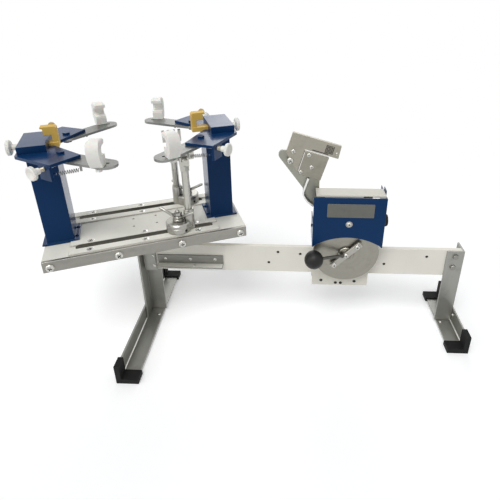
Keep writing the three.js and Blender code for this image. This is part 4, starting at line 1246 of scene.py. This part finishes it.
@dataclass
class Grips:
    """Hooks, arms, holders, their screws and springs."""

    hook_round: float = 1.2
    arm_round: float = 0.5
    holder_round: float = 1.8
    ear_middle: Point = (117.75, 77.24, 351.2)
    outward: Point = (0.7141, 0.7001, 0.0)
    arm_knob: Tuple[float, float, float] = (17.0, 10.0, 5.5)
    arm_shaft: Tuple[float, float, float] = (-21.9, -18.9, 16.0)
    arm_shaft_radii: Pair = (1.4, 2.9)
    arm_thread: Tuple[float, float, float] = (3.2, 0.45, 1.25)
    arm_thread_run: Pair = (2.5, 9.2)
    arm_collar: Pair = (9.0, 4.6)
    hook_knobs: Mapping[str, float] = field(default_factory=lambda: {"left": 170.0, "right": 167.0})
    hook_knob: Pair = (11.5, 6.0)
    hook_shaft: Tuple[float, float, float, float] = (127.2, 0.8, 2.4, 3.0)
    hook_collar: Pair = (160.4, 4.5)
    hook_level: float = 360.0
    hook_pin: Tuple[float, float, float, float] = (112.0, 6.3, 386.0, 5.0)
    spring_ends: Tuple[Point, Point] = ((103.6, 80.6, 342.8), (76.1, 76.7, 342.8))
    ribs: int = 30
    rib_radius: float = 0.7

    def build(self) -> None:
        """Make and dress the pieces that grip a frame."""
        for side, sign in (("left", -1), ("right", 1)):
            rounded(f"{side}_hook", PAD_TAN, "hook_pad", self.hook_round)
            self.build_hook_screw(side, sign)
            for end, way in (("front", -1), ("back", 1)):
                self.build_arm(f"{side}_{end}", sign, way)

    def build_hook_screw(self, side: str, sign: int) -> None:
        """Make a hook's screw: its shaft and its knob.

        Args:
            side: The side that it is on.
            sign: -1 on the left side, 1 on the right.
        """
        node = f"{side}_hook_screw"
        start, (radius, wall) = self.hook_knobs[side], self.hook_knob
        root, out = Vector((0.0, 0.0, self.hook_level)), Vector((sign, 0.0, 0.0))
        tip, chamfer, thin, thick = self.hook_shaft
        shaft = Shaper(Place.TURNTABLE)
        shaft.turned([(thin, tip), (thick, tip + chamfer), (thick, start)], root, out, 32)
        shaft.finish(f"{side}_hook_shaft", node, SCREW_ZINC)
        pin = Shaper(Place.TURNTABLE)
        reach, back, level, size = self.hook_pin
        dome = [(size, 0.0), (size, 1.0), (size * 0.92, 2.2), (size * 0.7, 3.4), (size * 0.38, 4.2),
                (0.0, 4.5)]
        pin.turned(dome, (sign * reach, back, level), BACK, 36)
        pin.finish(f"{side}_hook_pin", f"{side}_hook", SCREW_ZINC)
        self.build_knob(node, root, out, (start, radius, wall), self.hook_collar)

    def build_arm(self, name: str, sign: int, way: int) -> None:
        """Make and dress one arm with its holder, screw and spring.

        Args:
            name: Side and end, as the CAD nodes have them.
            sign: -1 on the left side, 1 on the right.
            way: -1 in front, 1 behind.
        """
        rounded(f"{name}_arm", ARM_ZINC, "arm_steel", self.arm_round)
        rounded(f"{name}_holder", NYLON, "holder_nylon", self.holder_round)
        stretched(f"{name}_arm_spring", Place.TURNTABLE)
        node = f"{name}_arm_screw"
        out = Vector((sign * self.outward[0], way * self.outward[1], 0.0))
        root = Vector((sign * self.ear_middle[0], way * self.ear_middle[1], self.ear_middle[2]))
        tip, cone, end = self.arm_shaft
        (thin, thick), (low, high) = self.arm_shaft_radii, self.arm_thread_run
        shaft = Shaper(Place.TURNTABLE)
        shaft.turned([(thin, tip), (thick, cone), (thick, end)], root, out, 32)
        shaft.thread(*self.arm_thread, root + out * low, root + out * high)
        shaft.finish(f"{name}_arm_shaft", node, BRASS)
        self.build_knob(node, root, out, self.arm_knob, self.arm_collar)

    def build_knob(
        self, node: str, root: Vector, out: Vector, disc: Tuple[float, float, float], collar: Pair
    ) -> None:
        """Make a moulded knob: collar, dished disc and ribs round its rim.

        Args:
            node: The CAD node that it stands for.
            root: Where distances start on its axis.
            out: The way that it points.
            disc: The disc's start, radius and thickness.
            collar: The collar's start and radius.
        """
        start, radius, wall = disc
        low, thick = collar
        rim, top = radius - self.rib_radius * 0.9, start + wall
        profile = [(thick - 0.5, low), (thick, low + 0.5), (thick, start - 1.2), (thick + 1.4, start - 0.3),
                   (rim - 1.2, start - 0.3), (rim, start + 0.7), (rim, top - 1.0), (rim - 0.4, top - 0.3),
                   (rim - 1.2, top), (rim - 2.4, top), (rim - 3.2, top - 0.6), (0.0, top - 0.6)]
        knob = Shaper(Place.TURNTABLE)
        knob.turned(profile, root, out, 60)
        knob.finish(f"{node}_knob", node, KNOB_WHITE, "knob_plastic", replaces=[node])
        first = out.normalized()
        across = first.orthogonal().normalized()
        middle = root + out * (start + wall / 2)
        ribs = []
        for i in range(self.ribs):
            arm = across.copy()
            arm.rotate(Matrix.Rotation(math.tau * i / self.ribs, 3, first))
            seat = middle + arm * (radius - self.rib_radius)
            ribs.append(Fastener(tuple(seat), tuple(first), self.rib_radius))
        fasten(f"{node}_ribs", node, Place.TURNTABLE, ribs, Head.RIB, KNOB_WHITE)


@dataclass
class StringClamps:
    """The two clamps that stand in the plate's slots."""

    post_round: float = 0.5
    jaw_round: float = 0.4
    reach: float = 18.0
    disc_radius: float = 20.5
    low: float = 204.3
    top: float = 221.3
    housing_top: float = 237.3
    rod_angles: Pair = (-40.0, 150.0)
    rod_root: Pair = (6.0, 228.1)
    rod_tip: Pair = (31.0, 242.1)
    grub_angles: Pair = (-62.0, 118.0)
    grub_level: float = 209.6
    grub_sink: float = 0.4
    grub_head: float = 2.3
    # The posts' tone is lighter than the bases' though both are the same chrome: painted light on the posts.
    tones: Pair = (0.39, 0.50)
    places: Mapping[str, Tuple[float, float, float]] = field(
        default_factory=lambda: {"front": (52.0, -48.0, 0.0), "back": (81.5, 48.0, math.pi)}
    )

    def build(self) -> None:
        """Make and dress the clamps."""
        for end, (x, y, turn) in self.places.items():
            local = Matrix.Translation((x, y, 0.0)) @ Matrix.Rotation(turn, 4, "Z")
            centre = Place.TURNTABLE.matrix() @ local
            base_tone, lit_post_tone = self.tones
            base_steel = self.steel(f"{end}_base_steel", centre @ Vector((0.0, 0.0, self.low)), base_tone)
            post_at = centre @ Vector((self.reach, 0.0, self.low))
            post_steel = self.steel(f"{end}_post_steel", post_at, lit_post_tone)
            self.build_base(end, local, base_steel)
            self.build_lock(end, local, base_steel)
            rounded(f"{end}_clamp_post", post_steel, "clamp_chrome", self.post_round)
            rounded(f"{end}_clamp_jaw", post_steel, "clamp_chrome", self.jaw_round)

    @staticmethod
    def steel(name: str, centre: Vector, tone: float) -> Turned:
        """Turned steel of a tone about an upright axis."""
        colour = (tone, tone * 0.985, tone * 0.9)
        return Turned(name, colour, 0.3, centre=tuple(centre), depth=0.008, metallic=0.95, contrast=0.1)

    @staticmethod
    def spoke(degrees: float) -> Vector:
        """The level way that points at an angle about the clamp's axis."""
        return Vector((math.cos(math.radians(degrees)), math.sin(math.radians(degrees)), 0.0))

    def build_base(self, end: str, local: Matrix, steel: Turned) -> None:
        """Make the base: nut and stud under the plate, disc on the strips, housing of the post.

        Args:
            end: Front or back.
            local: The clamp's own frame.
            steel: Its finish.
        """
        r = self.disc_radius
        disc = [(0.0, 192.8), (5.3, 192.8), (5.4, 193.0), (5.4, 204.3), (r - 0.9, 204.3), (r, 205.2),
                (r, 213.6), (r - 0.6, 214.1), (r - 0.6, 214.9), (r, 215.4), (r, 219.4), (r - 1.9, self.top),
                (0.0, self.top)]
        housing = [(8.2, 204.4), (8.5, 204.8), (8.5, self.housing_top - 1.0), (7.7, self.housing_top),
                   (6.4, self.housing_top), (6.4, 230.0), (0.0, 230.0)]
        nut = [(10.2, 190.2), (11.0, 190.9), (11.0, 194.5), (10.2, 195.2)]
        made = Shaper(Place.TURNTABLE, local)
        made.turned(disc, (0, 0, 0), UP, 72).turned(housing, (self.reach, 0, 0), UP, 48)
        made.turned(nut, (0, 0, 0), UP, 48)
        made.finish(f"{end}_clamp_base_shape", f"{end}_clamp_base", steel, "clamp_chrome",
                    replaces=[f"{end}_clamp_base"])
        grub = []
        for degrees in self.grub_angles:
            out = self.spoke(degrees)
            seat = local @ (out * (r - self.grub_sink) + Vector((0, 0, self.grub_level)))
            grub.append(Fastener(tuple(seat), tuple(local.to_3x3() @ out), self.grub_head))
        fasten(f"{end}_clamp_grub", f"{end}_clamp_base", Place.TURNTABLE, grub, Head.BUTTON, DARK_STEEL_AND_SHADE)

    def build_lock(self, end: str, local: Matrix, steel: Turned) -> None:
        """Make the locking nut with its collar, flats, tip and two rods.

        Args:
            end: Front or back.
            local: The clamp's own frame.
            steel: Its finish.
        """
        stack = [(8.2, 221.6), (9.0, 222.3), (9.0, 225.3), (8.3, 226.1), (7.4, 226.3), (7.8, 226.9),
                 (7.8, 229.4), (7.2, 230.1), (0.0, 230.1)]
        flats = [(6.3, 229.9), (7.0, 230.8), (7.0, 235.0), (6.1, 236.1), (0.0, 236.1)]
        made = Shaper(Place.TURNTABLE, local)
        made.turned(stack, (0, 0, 0), UP, 48).turned(flats, (0, 0, 0), UP, 6)
        made.turned([(3.4, 235.8), (3.4, 239.2), (2.6, 240.1), (0.0, 240.1)], (0, 0, 0), UP, 24)
        (near, near_level), (far, far_level) = self.rod_root, self.rod_tip
        for degrees in self.rod_angles:
            out = self.spoke(degrees)
            root = out * near + Vector((0, 0, near_level))
            run = out * far + Vector((0, 0, far_level)) - root
            long = run.length
            rod = [(0.0, 0.0), (2.2, 0.0), (2.5, 0.4), (2.5, long - 0.9), (2.0, long - 0.2), (0.0, long)]
            made.turned(rod, root, run, 20)
        made.finish(f"{end}_clamp_lock_shape", f"{end}_clamp_lock", steel, "clamp_chrome",
                    replaces=[f"{end}_clamp_lock"])


@dataclass
class TensionHead:
    """Carriage, cover, crank, lever, gripper and dial."""

    shells: Tuple[Tuple[str, Finish, str, float], ...] = (
        ("carriage_front_plate", CREAM, "cream_paint", 0.6),
        ("carriage_body", CREAM, "cream_paint", 0.5),
        ("head_cover", BLUE, "blue_paint", 0.7),
        ("head_top_plate", LID_CREAM_SHADED, "cream_paint", 0.8),
        ("pinion_shaft", MACHINED, "machined_steel", 0.15),
        ("tension_lever", LEVER_ZINC, "lever_steel", 0.5),
        ("gripper_fixed_jaw", GRIP_STEEL, "gripper_steel", 0.6),
        ("gripper_moving_jaw", JAW_STEEL, "gripper_steel", 0.6),
        ("tension_spring", SPRING_WIRE, "spring_steel", 0.0),
    )
    crank_at: Pair = (346.0, 162.5)
    disc_radius: float = 55.5
    disc_levels: Pair = (-22.0, -25.0)
    bar_lean: float = BAR_ANGLE
    bar_half: Pair = (33.0, 5.0)
    bar_corner: float = 1.6
    bar_levels: Pair = (28.9, 33.0)
    bar_screws: Tuple[float, ...] = (-27.0, 0.0, 24.5)
    bar_head: float = 4.5
    rod_front: float = -31.0
    rod_radius: float = 2.6
    ball_at: Point = (291.0, -50.0, 165.5)
    ball_radius: float = 15.5
    ball_bore: float = 3.4
    dial_at: Point = (405.0, 0.0, 214.0)
    dial_ribs: int = 24
    dial_rib: Tuple[float, float, float] = (409.9, 9.95, 1.05)
    strip_levels: Pair = (1.8, 7.25)
    grip_at: Pair = (253.5, 370.7)
    grip_tilt: float = GRIP_ANGLE
    grip_front: float = -8.3
    fixed_screws: Tuple[Point, ...] = ((9.6, -29.9, 3.9), (9.7, -46.4, 5.6))
    moving_screws: Tuple[Point, ...] = ((35.4, -28.7, 3.9), (45.5, -47.3, 3.8), (31.6, -60.2, 3.4))
    edge_sides: Tuple[float, float, float, float] = (26.7, 27.7, -60.4, -26.3)
    edge_sink: float = 1.0
    edge_rise: float = 0.3
    slot_sides: Tuple[float, float, float, float] = (37.0, 63.5, -19.6, -18.2)
    slot_sink: float = 0.6
    slot_rise: float = 0.08
    patch_at: Pair = (57.2, -16.6)
    patch_rows: int = 6
    patch_pitch: float = 2.3
    patch_half: float = 0.9
    patch_depth: float = 0.4
    label_sides: Tuple[float, float, float, float] = (310.0, 385.0, 236.3, 260.6)
    label_levels: Pair = (33.0, 33.7)
    cover_screw: Fastener = Fastener((346.5, -33.0, 223.6), FRONT, 4.4)
    pin_at: Point = (288.2, -18.0, 212.0)
    catch_sides: Tuple[float, float, float, float] = (366.0, 380.0, 271.6, 273.6)
    catch_levels: Pair = (30.6, 31.6)
    back_xs: Pair = (300.0, 381.0)
    back_zs: Tuple[float, ...] = (97.0, 117.0, 178.0, 246.0)
    back_face: float = 16.0
    back_head: float = 3.4
    plate_face: float = -11.2
    plate_screws: Tuple[Point, ...] = (
        (308.0, 95.0, 2.9), (334.0, 90.0, 2.9), (343.0, 90.0, 2.9), (367.0, 94.0, 2.9)
    )

    def build(self) -> None:
        """Make and dress the tension head."""
        for shell in self.shells:
            rounded(*shell)
        self.build_crank()
        self.build_ball()
        self.build_dial()
        self.build_lever_rim_highlight()
        self.build_gripper_details()
        self.build_cover_details()

    def build_crank(self) -> None:
        """Make the crank: disc, ringed hub, bar with its screws, and rod."""
        (x, z), (back, front) = self.crank_at, self.disc_levels
        centre = Place.MACHINE.matrix() @ Vector((x, front, z))
        face = Turned("crank_disc_steel", (0.30, 0.29, 0.25), 0.34, tuple(centre), FACING, 700.0, 0.02,
                      contrast=0.3)
        r = self.disc_radius
        disc = Shaper(Place.MACHINE)
        disc.turned([(4.5, 0.0), (r - 0.6, 0.0), (r, 0.6), (r, 2.4), (r - 0.6, 3.0), (0.0, 3.0)],
                    (x, back, z), FRONT, 128)
        disc.turned([(12.6, 0.0), (12.6, 3.2), (11.9, 3.9), (9.6, 3.9), (9.2, 3.3), (8.6, 3.3), (8.2, 3.9),
                     (0.0, 3.9)], (x, front, z), FRONT, 64)
        disc.finish("crank_disc", "crank", face, "crank_steel", replaces=["crank"])
        lean = Matrix.Translation((x, 0, z)) @ Matrix.Rotation(-self.bar_lean, 4, "Y") @ FRONT_VIEW
        half, side = self.bar_half
        bar = Shaper(Place.MACHINE)
        bar.slab(soft_rectangle(-half, half, -side, side, self.bar_corner), *self.bar_levels, lean)
        bar.finish("crank_bar", "crank", CRANK_BAR, "crank_steel", 0.7)
        screws = []
        for along in self.bar_screws:
            across, up = along * math.cos(self.bar_lean), along * math.sin(self.bar_lean)
            screws.append(Fastener((x + across, -self.bar_levels[1], z + up), FRONT, self.bar_head))
        fasten("crank_screws", "crank", Place.MACHINE, screws)
        root, run = self.rod_line()
        rod = Shaper(Place.MACHINE)
        thin = self.rod_radius
        rod.turned([(0.0, 0.0), (thin, 0.0), (thin, run.length), (0.0, run.length)], root, run, 24)
        rod.turned([(3.6, 5.2), (4.0, 5.6), (4.0, 8.2), (3.6, 8.6), (0.0, 8.6)], root, run, 6)
        rod.finish("crank_rod", "crank", ROD_STEEL, "crank_steel")

    def rod_line(self) -> Tuple[Vector, Vector]:
        """Where the crank's rod starts, and its way to the ball's middle."""
        x, z = self.crank_at
        root = Vector((x, self.rod_front, z))
        return root, Vector(self.ball_at) - root

    def build_ball(self) -> None:
        """Make the ball knob, with the bore that the rod enters."""
        run = self.rod_line()[1].normalized()
        radius, bore, sides, rows = self.ball_radius, self.ball_bore, 64, 40
        mouth = math.asin(bore / radius)
        profile = [(bore, -radius * math.cos(mouth) + 3.0), (bore, -radius * math.cos(mouth) + 0.3)]
        for i in range(rows):
            turn = mouth + (math.pi - mouth) * i / rows
            profile.append((radius * math.sin(turn), -radius * math.cos(turn)))
        profile.append((0.0, radius))
        ball = Shaper(Place.MACHINE)
        ball.turned([(0.0, profile[0][1]), *profile], self.ball_at, run, sides)
        ball.finish("ball_knob_shape", "ball_knob", BALL_BLACK, "ball_plastic", replaces=["ball_knob"])

    def build_dial(self) -> None:
        """Make the ribbed dial that presets the pull, on its rod."""
        dial = Shaper(Place.MACHINE)
        dial.turned([(3.0, -68.5), (3.0, 0.0), (9.4, 0.0), (10.1, 0.7), (10.1, 9.0), (9.2, 10.0), (7.2, 10.0),
                     (6.8, 9.3), (0.0, 9.3)], self.dial_at, RIGHT, 48)
        dial.finish("tension_dial", "tension_knob", DIAL_BLACK, "dial_plastic", replaces=["tension_knob"])
        x, ring, radius = self.dial_rib
        ribs = []
        for across, up in around(self.dial_ribs):
            ribs.append(Fastener((x, ring * across, self.dial_at[2] + ring * up), RIGHT, radius))
        fasten("tension_dial_ribs", "tension_knob", Place.MACHINE, ribs, Head.RIB, DIAL_BLACK)

    def build_lever_rim_highlight(self) -> None:
        """Make a bright bent strip along the lever's lower edge: a painted highlight on its rim."""
        outline = [(281.4, 291.4), (278.0, 281.0), (273.9, 267.4), (273.7, 262.6), (276.6, 256.0),
                   (280.9, 250.4), (290.2, 243.0), (288.4, 240.0), (282.6, 244.0), (278.3, 247.9),
                   (274.0, 254.0), (270.7, 261.3), (270.7, 268.3), (274.0, 280.0), (277.7, 292.6)]
        strip = Shaper(Place.MACHINE)
        strip.slab(outline, *self.strip_levels, FRONT_VIEW)
        strip.finish("lever_strip", "tension_lever", EDGE_HIGHLIGHT, "lever_steel", 0.6)

    def grip_frame(self) -> Matrix:
        """The gripper's own frame: x along its top, y up its height, z towards the front."""
        x, z = self.grip_at
        return Matrix.Translation((x, 0, z)) @ Matrix.Rotation(self.grip_tilt, 4, "Y") @ FRONT_VIEW

    def grip_screws(self, places: Iterable[Point]) -> List[Fastener]:
        """Screws on the gripper's front: along, up and radius of each."""
        plane = self.grip_frame()
        return [Fastener(tuple(plane @ Vector((u, v, -self.grip_front))), FRONT, r) for u, v, r in places]

    def build_gripper_details(self) -> None:
        """Make the gripper's screws, a bright edge strip that paints a highlight, a dark strip that paints
        its string slot's shade, and its gripping patch.
        """
        fixed = self.grip_screws(self.fixed_screws)
        fasten("gripper_fixed_screws", "tension_lever", Place.MACHINE, fixed)
        moving = self.grip_screws(self.moving_screws)
        fasten("gripper_moving_screws", "gripper_moving_jaw", Place.MACHINE, moving)
        plane = self.grip_frame()
        front = -self.grip_front
        # A bright strip on the moving jaw's left edge: a painted highlight.
        edge = Shaper(Place.MACHINE, plane)
        edge.slab(soft_rectangle(*self.edge_sides, 0.3), front - self.edge_sink, front + self.edge_rise)
        edge.finish("gripper_ground_edge", "gripper_moving_jaw", EDGE_HIGHLIGHT, "gripper_steel", 0.15)
        # A dark strip where the string slot is: painted shade.
        slot = Shaper(Place.MACHINE, plane)
        slot.slab(soft_rectangle(*self.slot_sides, 0.6), front - self.slot_sink, front + self.slot_rise)
        slot.finish("gripper_string_slot", "tension_lever", DARK_STEEL_AND_SHADE)
        patch = Shaper(Place.MACHINE, plane)
        half, depth = self.patch_half, self.patch_depth
        for row in range(self.patch_rows):
            for column in range(self.patch_rows):
                u = self.patch_at[0] + column * self.patch_pitch
                v = self.patch_at[1] + row * self.patch_pitch
                square = [(u + half * x, v + half * y) for x, y in ((-1, -1), (1, -1), (1, 1), (-1, 1))]
                patch.slab(square, front - depth, front + depth)
        patch.finish("gripper_knurled_patch", "tension_lever", KNURL_DARK, "", 0.3)

    def build_cover_details(self) -> None:
        """Make the bare label plate, the screws, the pin and the catch of the cover."""
        label = Shaper(Place.MACHINE)
        label.slab(soft_rectangle(*self.label_sides, 1.5), *self.label_levels, FRONT_VIEW)
        label.finish("bare_label_plate", "carriage", LABEL_METAL, "", 0.2)
        fasten("cover_screw", "carriage", Place.MACHINE, [self.cover_screw])
        washer = Shaper(Place.MACHINE)
        washer.turned([(5.6, 0.0), (5.6, 0.5), (5.2, 0.8), (0.0, 0.8)], self.cover_screw.at, FRONT, 36)
        washer.finish("cover_washer", "carriage", MACHINED)
        pin = Shaper(Place.MACHINE)
        pin.turned([(0.0, 0.0), (2.4, 0.0), (2.6, 0.4), (2.6, 1.6), (1.8, 2.4), (0.0, 2.4)],
                   self.pin_at, LEFT, 24)
        pin.slab(soft_rectangle(*self.catch_sides, 0.6), *self.catch_levels, FRONT_VIEW)
        pin.finish("cover_pin", "carriage", DARK_STEEL_AND_SHADE, "", 0.2)
        y, radius = self.back_face, self.back_head
        rear = [Fastener((x, y, z), BACK, radius) for x in self.back_xs for z in self.back_zs]
        fasten("body_back_screws", "carriage", Place.MACHINE, rear)
        heads = [Fastener((x, self.plate_face, z), FRONT, r) for x, z, r in self.plate_screws]
        fasten("front_plate_screws", "carriage", Place.MACHINE, heads, Head.BUTTON, DARK_STEEL_AND_SHADE)


@dataclass
class Studio:
    """Floor, lamps, world and camera."""

    floor_half: float = 1.6
    surround: float = 0.40
    paper_lift: float = 0.17
    floor_fade: Pair = (0.45, 0.95)
    camera_at: Point = (0.0538, -0.6164, 0.58025)
    camera_tilt: float = 65.773
    camera_turn: float = 2.159
    lens: float = 30.5
    shift: Pair = (-0.0491, -0.154)
    lamps: Sequence[Tuple[str, Point, float, float]] = field(
        default_factory=lambda: (
            ("key", (-0.2, -0.7, 1.3), 30.0, 1.36),
            ("side", (-1.4, -0.9, 0.8), 40.0, 0.6),
            ("back", (0.1, 1.6, 0.85), 36.0, 0.6),
        )
    )

    def build(self) -> None:
        """Make the studio."""
        self.make_floor()
        self.make_world()
        for name, source, spread, strength in self.lamps:
            self.make_lamp(name, source, spread, strength)
        self.make_camera()

    def make_floor(self) -> None:
        """A pale floor, brighter where it is seen, that keeps the shadow and fades into white."""
        half = self.floor_half
        data = bpy.data.meshes.new("floor")
        corners = [(-half, -half, 0), (half, -half, 0), (half, half, 0), (-half, half, 0)]
        data.from_pydata(corners, [], [(0, 1, 2, 3)])
        floor = placed("floor", data)
        sheet = Sheet("floor_paper")
        spot = sheet.spot()
        tone = sheet.mix(sheet.noise(spot, 3.0, 2.0), (0.955, 0.955, 0.955), (0.965, 0.965, 0.965))
        paper = sheet.node("ShaderNodeBsdfDiffuse", {}, {"Color": tone})
        clear = sheet.node("ShaderNodeBsdfTransparent")
        reach = sheet.node("ShaderNodeVectorMath", {"operation": "LENGTH"}, {0: spot})
        fade = Value(sheet, reach.outputs["Value"]).step(*self.floor_fade)
        blend = sheet.node("ShaderNodeMixShader", {}, {0: fade})
        path = sheet.node("ShaderNodeLightPath")
        camera, gloss, through = [
            Value(sheet, path.outputs[f"Is {kind} Ray"]) for kind in ("Camera", "Glossy", "Transmission")
        ]
        seen = sheet.math("MAXIMUM", sheet.math("MAXIMUM", camera, gloss), through)
        glow = sheet.node("ShaderNodeEmission", {}, {"Strength": seen * self.paper_lift})
        lit = sheet.node("ShaderNodeAddShader")
        sheet.tree.links.new(paper.outputs["BSDF"], lit.inputs[0])
        sheet.tree.links.new(glow.outputs["Emission"], lit.inputs[1])
        sheet.tree.links.new(lit.outputs["Shader"], blend.inputs[1])
        sheet.tree.links.new(clear.outputs["BSDF"], blend.inputs[2])
        output = sheet.node("ShaderNodeOutputMaterial")
        sheet.tree.links.new(blend.outputs["Shader"], output.inputs["Surface"])
        data.materials.append(sheet.material)

    def make_world(self) -> None:
        """A soft surround: white where it is seen, mirrored or shone through, and dimmer as a light."""
        world = bpy.data.worlds.new("studio")
        bpy.context.scene.world = world
        world.use_nodes = True
        nodes, links = world.node_tree.nodes, world.node_tree.links
        nodes.clear()
        path, output = nodes.new("ShaderNodeLightPath"), nodes.new("ShaderNodeOutputWorld")
        light, white = nodes.new("ShaderNodeBackground"), nodes.new("ShaderNodeBackground")
        light.inputs["Color"].default_value = (0.96, 0.98, 1.0, 1.0)
        light.inputs["Strength"].default_value = self.surround
        white.inputs["Color"].default_value = (1.0, 1.0, 1.0, 1.0)
        white.inputs["Strength"].default_value = 1.0
        either, any_of = nodes.new("ShaderNodeMath"), nodes.new("ShaderNodeMath")
        either.operation, any_of.operation = "MAXIMUM", "MAXIMUM"
        links.new(path.outputs["Is Camera Ray"], either.inputs[0])
        links.new(path.outputs["Is Glossy Ray"], either.inputs[1])
        links.new(either.outputs[0], any_of.inputs[0])
        links.new(path.outputs["Is Transmission Ray"], any_of.inputs[1])
        shown = nodes.new("ShaderNodeMixShader")
        links.new(any_of.outputs[0], shown.inputs["Fac"])
        links.new(light.outputs["Background"], shown.inputs[1])
        links.new(white.outputs["Background"], shown.inputs[2])
        links.new(shown.outputs["Shader"], output.inputs["Surface"])

    def make_lamp(self, name: str, source: Point, spread: float, strength: float) -> None:
        """Add a wide soft lamp.

        Args:
            name: The lamp's name.
            source: Where its light comes from, seen from the machine.
            spread: How wide it is seen, in degrees.
            strength: Its strength.
        """
        data = bpy.data.lights.new(name, "SUN")
        data.angle = math.radians(spread)
        data.energy = strength
        lamp = placed(name, data)
        lamp.rotation_mode = "QUATERNION"
        lamp.rotation_quaternion = (-Vector(source)).to_track_quat("-Z", "Y")

    def make_camera(self) -> None:
        """Set the camera at the photograph's place and angle."""
        data = bpy.data.cameras.new("camera")
        data.lens = self.lens
        data.sensor_width = 36.0
        data.shift_x, data.shift_y = self.shift
        data.clip_start, data.clip_end = 0.02, 40.0
        camera = placed("camera", data)
        camera.location = self.camera_at
        camera.rotation_euler = Euler((math.radians(self.camera_tilt), 0.0, math.radians(self.camera_turn)))
        bpy.context.scene.camera = camera


def clear_templates() -> None:
    """Remove the screw head templates once every screw is a plain mesh."""
    for kind in Head:
        found = bpy.data.objects.get(f"template_{kind.value}")
        if found:
            bpy.data.objects.remove(found)


def main() -> None:
    """Build the sub-assemblies in order, then the studio."""
    logging.basicConfig(level=logging.INFO, format="%(name)s: %(message)s")
    view = bpy.context.scene.view_settings
    view.view_transform = "Standard"
    for assembly in (Base(), Turntable(), Grips(), StringClamps(), TensionHead(), Studio()):
        assembly.build()
        LOG.info("built %s", type(assembly).__name__)
    clear_templates()


if __name__ == "__main__":
    main()
